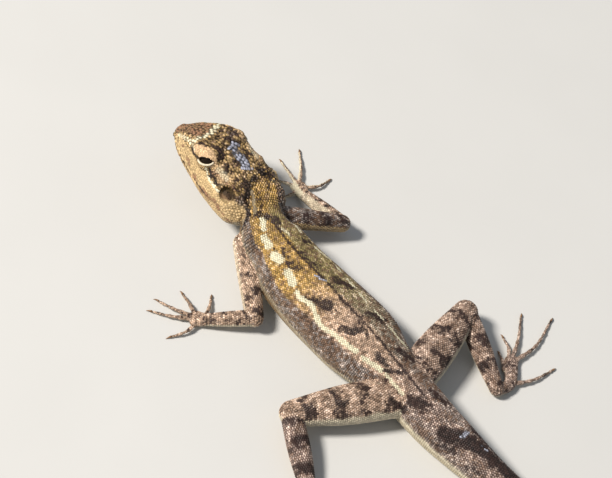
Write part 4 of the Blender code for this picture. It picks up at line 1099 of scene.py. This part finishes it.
def scale_grid(rows, size_at, squareness=1.0):
    """Places and lie of scales in staggered rows over a drawn-out form, counted from the back's midline."""
    lengths = np.r_[0.0, np.cumsum(np.linalg.norm(np.diff(rows[:, :3], axis=0), axis=1))]
    turns = np.linspace(0.0, 2 * np.pi, RING_SIDES + 1) + np.pi / 2
    flat, tall = signed_power(np.cos(turns), squareness), signed_power(np.sin(turns), squareness)
    places, lies, sizes = [], [], []
    along, count, odd = 0.0, 0, 0.0
    while along < lengths[-1]:
        row = np.array([np.interp(along, lengths, column) for column in rows.T])
        left, up = sideways(row[None, -3:])
        rise = tall * np.where(tall > 0.0, row[4], row[5])
        ring = row[:3] + left * (flat * row[3])[:, None] + up * rise[:, None]
        ring[:, 2] = np.maximum(ring[:, 2], RING_FLOOR)
        round_it = np.r_[0.0, np.cumsum(np.linalg.norm(np.diff(ring, axis=0), axis=1))]
        size = size_at(along / lengths[-1])
        wanted = round_it[-1] / size
        if not count or abs(count / wanted - 1.0) > COUNT_SLACK:
            count = max(LEAST_COUNT, round(wanted))
        spots = (np.arange(count) + odd) / count * round_it[-1]
        places.append(np.stack([np.interp(spots, round_it, column) for column in ring.T], axis=1))
        lies.append(np.tile(row[-3:], (count, 1)))
        sizes.append(np.full(count, round_it[-1] / count))
        along, odd = along + size * ROW_SHARE, 0.5 - odd
    return np.vstack(places), np.vstack(lies), np.concatenate(sizes)


body_steps = np.linalg.norm(np.diff(body_rows[:, :3], axis=0), axis=1)
trunk_share = body_steps[:TRUNK_ROWS - 1].sum() / body_steps.sum()


def body_scale_size(share):
    return np.interp(share, (0.0, *NAPE_SHARES, trunk_share, trunk_share + TAIL_SHARE, 1.0),
                     (NAPE_SCALE, NAPE_SCALE, NECK_SCALE,
                      SCALE_SIZES["trunk"], SCALE_SIZES["tail"], SCALE_SIZES["tail tip"]))


# Rows over the body and each limb piece, set down on the skin. Where two grids overlap one gives way.
grids = [scale_grid(body_rows, body_scale_size, BODY_SQUARENESS)]
grids += [scale_grid(rows, lambda share: SCALE_SIZES[family]) for family, _, rows in limb_family]
roots, lies, sizes = (np.concatenate(values) for values in zip(*grids))
owners = np.repeat(np.arange(len(grids)) - 1, [len(grid[0]) for grid in grids])
kept, seats, normals = [], [], []
for number, root in enumerate(roots):
    seat, normal, _, distance = skin_tree.find_nearest(Vector(root), SKIN_REACH)
    if seat is not None and distance < COVER_LIMIT:
        kept.append(number)
        seats.append(seat)
        normals.append(normal)
kept, seats, normals = np.array(kept), np.array(seats), np.array(normals)
lies, sizes, owners = lies[kept], sizes[kept], owners[kept]
crowd = KDTree(len(seats))
for number, seat in enumerate(seats):
    crowd.insert(Vector(seat), number)
crowd.balance()
alone = head_out(into_head(seats)) >= HEAD_EDGE
for number, seat in enumerate(seats):
    if alone[number]:
        for _, other, _ in crowd.find_range(Vector(seat), CROWDING * sizes[number]):
            if owners[other] != owners[number]:
                alone[other] = alone[other] and other < number
seats, normals, lies, sizes = seats[alone], normals[alone], lies[alone], sizes[alone]

# Where rows meet, and all over the head, scales are fitted in singly wherever the skin is still bare.
# On the head they stand further apart on the crown and lips, and closer on the lids.
HEAD_SCALE, CROWN_MORE, LIPS_MORE, LIDS_LESS = 0.48, 0.22, 0.34, 0.16
CROWN_RISE, CROWN_SIDES, LIP_PLACE, LID_PLACE = (3.0, 5.0), (7.0, 5.0), (0.5, 0.5), (3.0, 1.2)
BODY_FILL, DIGIT_FILL, FILL_GROWTH, ROOM_SHARE, CELL = 0.5, 0.36, 1.12, 0.9, 0.8
NAPE_BACK, NAPE_LEVEL, NAPE_FRONT, NAPE_LOW = -33.0, 7.0, -23.0, -2.0
EAR_BARE, SLIT_BARE, NOSTRIL_BARE, MOUTH_BARE = 0.84, 1.12, 1.6, 0.42


def head_scale_size(head):
    """How far apart scales stand on the head."""
    crown = smooth_step(*CROWN_RISE, head[:, 2]) * smooth_step(*CROWN_SIDES, np.abs(head[:, 1]))
    off_lips = (np.abs(above_mouth(head)) - LIP_PLACE[0]) / LIP_PLACE[1]
    lips = np.exp(-off_lips ** 2) * (-head[:, 0] < LIP_BACK)
    off_lids = (reaches(both_sides(head), EYE_CENTRE, 1.0) - LID_PLACE[0]) / LID_PLACE[1]
    lids = np.exp(-off_lids ** 2) * (1 - crown)
    return HEAD_SCALE + CROWN_MORE * crown + LIPS_MORE * lips - LIDS_LESS * lids


faces = np.array([list(face.vertices)[:3] for face in skin.data.polygons])
bare = np.vstack([points, points[faces].mean(1)])
bare_normals = np.vstack([points_of(skin.data, "normal"), [face.normal for face in skin.data.polygons]])
part, along, _, head = parts_at(bare)
nape = (part < 0) & (bare[:, 1] < NAPE_BACK) & (head[:, 0] < NAPE_FRONT) & (head[:, 2] > NAPE_LOW)
wanted = np.select([part >= FIRST_DIGIT, nape, part == -2],
                   [DIGIT_FILL, NAPE_SCALE, head_scale_size(head)], BODY_FILL)
folded = both_sides(head)
closed = ((reaches(folded, EAR_PLACE, EAR_REACH) < EAR_BARE) | (slit_share(folded) < SLIT_BARE)
          | (reaches(folded, NOSTRIL_PLACE, NOSTRIL_REACH) < NOSTRIL_BARE)
          | ((part == -2) & (from_mouth(head) < MOUTH_BARE)))


def cell_of(place):
    return tuple(np.floor(place / CELL).astype(int))


cells = {}
for seat, size in zip(seats, sizes):
    cells.setdefault(cell_of(seat), []).append((*seat, size))
neighbours = [(x, y, z) for x in (-1, 0, 1) for y in (-1, 0, 1) for z in (-1, 0, 1)]


def fits(place, size):
    """Whether a scale has room at a place between the scales already laid."""
    px, py, pz = place
    x, y, z = cell_of(place)
    for dx, dy, dz in neighbours:
        for qx, qy, qz, other in cells.get((x + dx, y + dy, z + dz), ()):
            if (qx - px) ** 2 + (qy - py) ** 2 + (qz - pz) ** 2 < (0.5 * (size + other)) ** 2 * ROOM_SHARE:
                return False
    return True


def lie_at(number):
    """Which way a single scale points: back over the head, elsewhere along the part it lies on."""
    if part[number] == -2:
        return -HEAD_TURN[0]
    rows = body_rows if part[number] == -1 else limb_family[part[number]][2]
    return rows[min(int(along[number] * len(rows)), len(rows) - 1), -3:]


added = []
for number in random_state.permutation(len(bare)):
    if not closed[number] and fits(bare[number], wanted[number]):
        cells.setdefault(cell_of(bare[number]), []).append((*bare[number], wanted[number]))
        added.append(number)
kinds = np.concatenate([
    np.where((seats[:, 1] < NAPE_BACK) & (seats[:, 2] > NAPE_LEVEL), "spiked", "keeled"),
    np.where(nape[added], "spiked", np.where(part[added] == -2, "domed", "keeled"))])
seats = np.vstack([seats, bare[added]])
normals = np.vstack([normals, bare_normals[added]])
lies = np.vstack([lies, [lie_at(number) for number in added]])
sizes = np.concatenate([sizes, wanted[added] * FILL_GROWTH])

# The plates, in widths of a scale: the hexagon at the root and on top, thickness, length, and how far each
# is raised and from where it tilts
PLATE_SIDES, PLATE_ROOT, PLATE_TOP, PLATE_THICKNESS, PLATE_LENGTH = 6, 0.5, 0.34, 0.12, 1.5
PLATE_RAISED, PLATE_HINGE, SIZE_SPREAD, SIZE_MOST, ROOT_CREST = 0.2, 0.1, 0.07, 2.0, 0.15
PLATES_APIECE, MAP_PATCH = 8000, 0.003

# Each kind: its width, the rise of its middle, how pointed it is, its tilt and how unruly it lies
PLATES = {
    "keeled": (1.15, 0.18, 0.5, 0.12, 0.05),
    "domed": (1.2, 0.12, 0.0, 0.12, 0.3),
    "spiked": (1.0, 0.3, 0.9, 0.3, 0.35),
}


def plate(width, rise, point, tilt):
    """One scale: a six-sided plate with a raised middle, its root sunk and its tip lifted."""
    bm = bmesh.new()
    bmesh.ops.create_cone(bm, cap_ends=True, segments=PLATE_SIDES, radius1=PLATE_ROOT, radius2=PLATE_TOP,
                          depth=PLATE_THICKNESS)
    top = max(bm.faces, key=lambda face: face.calc_center_median().z)
    bmesh.ops.poke(bm, faces=[top], offset=rise)
    bmesh.ops.triangulate(bm, faces=bm.faces)
    for vertex in bm.verts:
        x, y, z = vertex.co
        y *= width * (1.0 - point * max(x, 0.0))
        vertex.co = (x * PLATE_LENGTH, y, z + PLATE_THICKNESS * PLATE_RAISED + tilt * (x + PLATE_HINGE))
    bm.verts.ensure_lookup_table()
    corners = np.array([vertex.co for vertex in bm.verts])
    sides = np.array([[vertex.index for vertex in face.verts] for face in bm.faces])
    bm.free()
    return corners, sides


def laid_scales(name, chosen, template, unruly):
    """A joined mesh of scales, each with its markings and its own patch of the map."""
    corners, sides = template
    count = len(chosen)
    up = normals[chosen] / np.linalg.norm(normals[chosen], axis=1)[:, None]
    ahead = lies[chosen] - (lies[chosen] * up).sum(1)[:, None] * up
    ahead /= np.maximum(np.linalg.norm(ahead, axis=1), 1e-6)[:, None]
    ahead += np.cross(up, ahead) * unruly * random_state.standard_normal((count, 1))
    ahead /= np.linalg.norm(ahead, axis=1)[:, None]
    across = np.cross(up, ahead)
    uneven = random_state.standard_normal(count).clip(-SIZE_MOST, SIZE_MOST)
    size = sizes[chosen] * (1.0 + SIZE_SPREAD * uneven)
    plates = corners[None] * size[:, None, None]
    places = (seats[chosen][:, None] + plates[:, :, :1] * ahead[:, None] + plates[:, :, 1:2] * across[:, None]
              + plates[:, :, 2:] * up[:, None]).reshape(-1, 3)
    loops = (sides[None] + (np.arange(count) * len(corners))[:, None, None]).reshape(-1)
    mesh = bpy.data.meshes.new(name)
    mesh.vertices.add(len(places))
    mesh.vertices.foreach_set("co", places.ravel())
    mesh.loops.add(len(loops))
    mesh.loops.foreach_set("vertex_index", loops.astype(np.int32))
    mesh.polygons.add(len(loops) // 3)
    mesh.polygons.foreach_set("loop_start", np.arange(0, len(loops), 3, dtype=np.int32))
    mesh.update(calc_edges=True)
    shares = {kind: values[chosen].repeat(len(corners)) for kind, values in scale_shares.items()}
    levels = (corners[:, 2] - corners[:, 2].min()) / np.ptp(corners[:, 2])
    # A plate's crest runs from its root up to its top and sets its painted shade and highlight
    shares["crest"] = np.tile(ROOT_CREST + (1.0 - ROOT_CREST) * levels, count)
    set_shares(mesh, shares)
    flat = corners[sides].reshape(-1, 3)[:, :2] / PLATE_LENGTH * MAP_PATCH
    patches = (scale_map[chosen][:, None] + flat[None]).reshape(-1, 2)
    mesh.uv_layers.new(name="OFBake").data.foreach_set("uv", patches.astype(np.float32).ravel())
    mesh.materials.append(hide.material)
    return shown(name, mesh)


scale_shares, _ = markings(seats)
scale_shares["tone"] = random_state.random(len(seats))

# Each scale's patch of the map lies where the scale does: the body in one block, the head beside it, and
# below the head strips for the limbs' pieces and the digits
part, along, turn, head = parts_at(seats)
round_it = (turn + 180.0) / 360.0
round_head = np.arctan2(head[:, 1], head[:, 2] + 1.5) / (2 * np.pi) + 0.5
along_head = np.clip(-head[:, 0] / 33.0, 0, 1)
blocks = [part == -1, part == -2, part < FIRST_DIGIT, part >= FIRST_DIGIT]
map_across = np.select(blocks, [
    0.01 + 0.56 * round_it, 0.59 + 0.39 * round_head, 0.59 + 0.032 * part + 0.028 * round_it,
    0.59 + 0.019 * (part - FIRST_DIGIT) + 0.016 * round_it])
map_up = np.select(blocks, [
    0.01 + 0.98 * along, 0.63 + 0.36 * along_head, 0.31 + 0.3 * along, 0.01 + 0.28 * along])
scale_map = np.stack([map_across, map_up], axis=1)

# Each kind is shared out from the head to the tail over meshes of a handy size
order = np.where(part == -2, -np.inf, seats[:, 1])
for kind, (*form, unruly) in PLATES.items():
    members = np.flatnonzero(kinds == kind)
    members = members[np.argsort(order[members], kind="stable")]
    template = plate(*form)
    for number, group in enumerate(np.array_split(members, -(-len(members) // PLATES_APIECE)), 1):
        scales = laid_scales(f"{kind}_scales_{number}", np.sort(group), template, unruly)
        finished(scales, "skin")
        scales.data.shade_flat()

# The eyes are wet, dark and glossy, set deep under the brows, with only the slit between the lids open.
# Each is a whole ball, which stands for the eye's own solid.
EYE_SIDES, EYE_RINGS = 48, 32
IRIS_DARK, IRIS_BROWN, IRIS_GRAIN = (0.008, 0.006, 0.005), (0.02, 0.012, 0.007), 0.7
wet = Finish("wet eye", Roughness=0.06, Specular_IOR_Level=0.1)
wet.feed(wet.surface.inputs["Base Color"], wet.mix(IRIS_DARK, IRIS_BROWN, wet.noise(IRIS_GRAIN)))
for side, name in ((1, "eye_left"), (-1, "eye_right")):
    eye = round_eye(name + "_ball", side, EYE_RADIUS, EYE_SIDES, EYE_RINGS)
    eye.data.materials.append(wet.material)
    finished(eye, "eye", name)

# The lids end in a smooth rolled rim round the opening, thick and white below, thin and dark above. Each
# rim is a circle spun into a ring, then laid on the skin along the edge of the opening.
RIM_STEPS, RIM_SIDES, RIM_RING, RIM_OUT, RIM_RADII = 64, 10, 2.0, 1.08, (0.12, 0.27)
RIM_LOW, RIM_SUNK, RIM_PALE, RIM_CREST, RAY_REACH = (0.25, -0.35), 0.06, 0.85, 0.8, 2.0


def lid_edge(turn, side, ray):
    """Places on the skin along the edge of one opening between the lids."""
    rise = np.sin(turn) / np.where(np.sin(turn) > 0.0, SLIT_FLATNESS, 1.0)
    edge = np.array(SLIT_PLACE) + RIM_OUT * (np.cos(turn)[:, None] * SLIT_REACH[0] * slit_ahead
                                             + rise[:, None] * SLIT_REACH[1] * slit_rise)
    starts = from_head(edge * (1, side, 1)) + RAY_REACH * ray
    return np.array([skin_tree.ray_cast(Vector(start), Vector(-ray))[0] for start in starts])


def along_lids(ring, side, ray):
    """A plain ring laid along the edge of one opening, thicker below."""
    turn, step = np.arctan2(ring[:, 1], ring[:, 0]), math.pi / RIM_STEPS
    across = np.cross(lid_edge(turn + step, side, ray) - lid_edge(turn - step, side, ray), ray)
    across /= np.linalg.norm(across, axis=1)[:, None]
    thin, thick = RIM_RADII
    radius = (thin + (thick - thin) * smooth_step(*RIM_LOW, np.sin(turn)))[:, None]
    out = (np.linalg.norm(ring[:, :2], axis=1) - RIM_RING)[:, None]
    return lid_edge(turn, side, ray) - RIM_SUNK * ray + radius * (out * across + ring[:, 2:] * ray)


upright = Matrix.Translation((RIM_RING, 0.0, 0.0)) @ Matrix.Rotation(math.pi / 2, 4, "X")
for side, name in ((1, "lid_rim_left"), (-1, "lid_rim_right")):
    ray = (slit_out * (1, side, 1)) @ HEAD_TURN
    bm = bmesh.new()
    bmesh.ops.create_circle(bm, segments=RIM_SIDES, radius=1.0, matrix=upright)
    bmesh.ops.spin(bm, geom=bm.verts[:] + bm.edges[:], cent=(0.0, 0.0, 0.0), axis=(0.0, 0.0, 1.0),
                   angle=2 * math.pi, steps=RIM_STEPS, use_merge=True)
    low = smooth_step(*RIM_LOW, np.sin(np.arctan2([v.co.y for v in bm.verts], [v.co.x for v in bm.verts])))
    rim = placed(name, bm, lambda ring: along_lids(ring, side, ray))
    none = np.zeros(len(low))
    set_shares(rim.data, dict.fromkeys(MARK_NAMES, none) | {
        PALE: RIM_PALE * low, DARK: 1 - low, "tone": none + SKIN_TONE, "crest": none + RIM_CREST})
    rim.data.materials.append(hide.material)
    finished(rim, "skin")

# The claws are short hooks of dark horn, one at the end of each finger and toe, amber where they are
# thin. Each is drawn out of a cone and bent down.
CLAW_LENGTH, CLAW_RADIUS, CLAW_TIP, CLAW_SIDES, CLAW_CUTS = 1.5, 0.3, 0.05, 10, 5
CLAW_BEND, CLAW_ARCH, CLAW_SUNK, CLAW_RAISED = 0.3, 0.12, 0.1, 0.1
HORN_DARK, HORN_AMBER, HORN_GRAIN = (0.07, 0.035, 0.018), (0.30, 0.15, 0.05), 0.5
horn = Finish("claw horn", Roughness=0.35)
horn.feed(horn.surface.inputs["Base Color"], horn.mix(HORN_DARK, HORN_AMBER, horn.noise(HORN_GRAIN)))
all_claws = bmesh.new()
for rows in digit_lines:
    base, direction = rows[-1, :3], rows[-1, -3:]
    left, up = (vector[0] for vector in sideways(direction[None]))
    bm = bmesh.new()
    bmesh.ops.create_cone(bm, cap_ends=True, segments=CLAW_SIDES, radius1=CLAW_RADIUS, radius2=CLAW_TIP,
                          depth=CLAW_LENGTH)
    sides = [edge for edge in bm.edges if abs(edge.verts[0].co.z - edge.verts[1].co.z) > CLAW_LENGTH / 2]
    bmesh.ops.subdivide_edges(bm, edges=sides, cuts=CLAW_CUTS, use_grid_fill=True)
    for vertex in bm.verts:
        x, y, z = vertex.co
        reach = z / CLAW_LENGTH + 0.5
        drop = CLAW_BEND * reach * reach - CLAW_ARCH * math.sin(math.pi * reach)
        vertex.co = Vector(base + direction * (reach * CLAW_LENGTH - CLAW_SUNK) + left * x
                           + up * (y - drop + CLAW_RAISED))
    bm.normal_update()
    face_out(bm)
    claw = bpy.data.meshes.new("claw")
    bm.to_mesh(claw)
    bm.free()
    all_claws.from_mesh(claw)
    bpy.data.meshes.remove(claw)
claws = made("claws", all_claws)
claws.data.materials.append(horn.material)
finished(claws, "skin")

# The model lies on a plain pale floor, which is no part of it. The floor is one flat face of matt stone,
# far wider than the picture.
FLOOR_SIZE, FLOOR_GREY, FLOOR_PALE, FLOOR_GRAIN = 2.0, (0.56, 0.555, 0.54), (0.60, 0.595, 0.58), 40.0
stone = Finish("pale floor", Roughness=0.8)
stone.feed(stone.surface.inputs["Base Color"], stone.mix(FLOOR_GREY, FLOOR_PALE, stone.noise(FLOOR_GRAIN)))
bm = bmesh.new()
bmesh.ops.create_grid(bm, x_segments=1, y_segments=1, size=FLOOR_SIZE)
floor = made("floor", bm)
floor.data.materials.append(stone.material)

# One broad soft light stands on the side that the sun stood on, a disk that faces the animal. The fill
# is even and faintly blue, like an open sky.
FILL_TINT, FILL_STRENGTH = (0.86, 0.92, 1.0, 1.0), 0.32
KEY_FROM, KEY_DISTANCE, KEY_SIZE, KEY_POWER, KEY_TINT = (0.77, -0.50, 0.98), 2.5, 0.5, 97.0, (1.0, 0.95, 0.88)
world = bpy.data.worlds.new("studio")
world.use_nodes = True
world.node_tree.nodes["Background"].inputs["Color"].default_value = FILL_TINT
world.node_tree.nodes["Background"].inputs["Strength"].default_value = FILL_STRENGTH
bpy.context.scene.world = world
bpy.context.scene.view_settings.view_transform = "Standard"
lamp = bpy.data.lights.new("key", "AREA")
lamp.shape, lamp.size, lamp.energy, lamp.color = "DISK", KEY_SIZE, KEY_POWER, KEY_TINT
key = shown("key", lamp)
key.location = Vector(KEY_FROM).normalized() * KEY_DISTANCE
key.rotation_euler = Vector(KEY_FROM).to_track_quat("Z", "Y").to_euler()

# The camera looks down on the animal from its left and a little from behind, as the photo does, and is
# rolled a little.
CAMERA_PLACE, CAMERA_LENS, CAMERA_ROLL = (0.2322236, 0.1280417, 0.3703720), 108.53, 22.7725
VIEW_FROM = (0.52, 0.33, 0.78784516)
camera_data = bpy.data.cameras.new("camera")
camera_data.lens, camera_data.sensor_width = CAMERA_LENS, 36.0
camera = shown("camera", camera_data)
camera_turn = Vector(VIEW_FROM).to_track_quat("Z", "Y").to_matrix()
camera_turn @= Matrix.Rotation(math.radians(CAMERA_ROLL), 3, "Z")
camera.matrix_world = Matrix.LocRotScale(Vector(CAMERA_PLACE), camera_turn, None)
bpy.context.scene.camera = camera
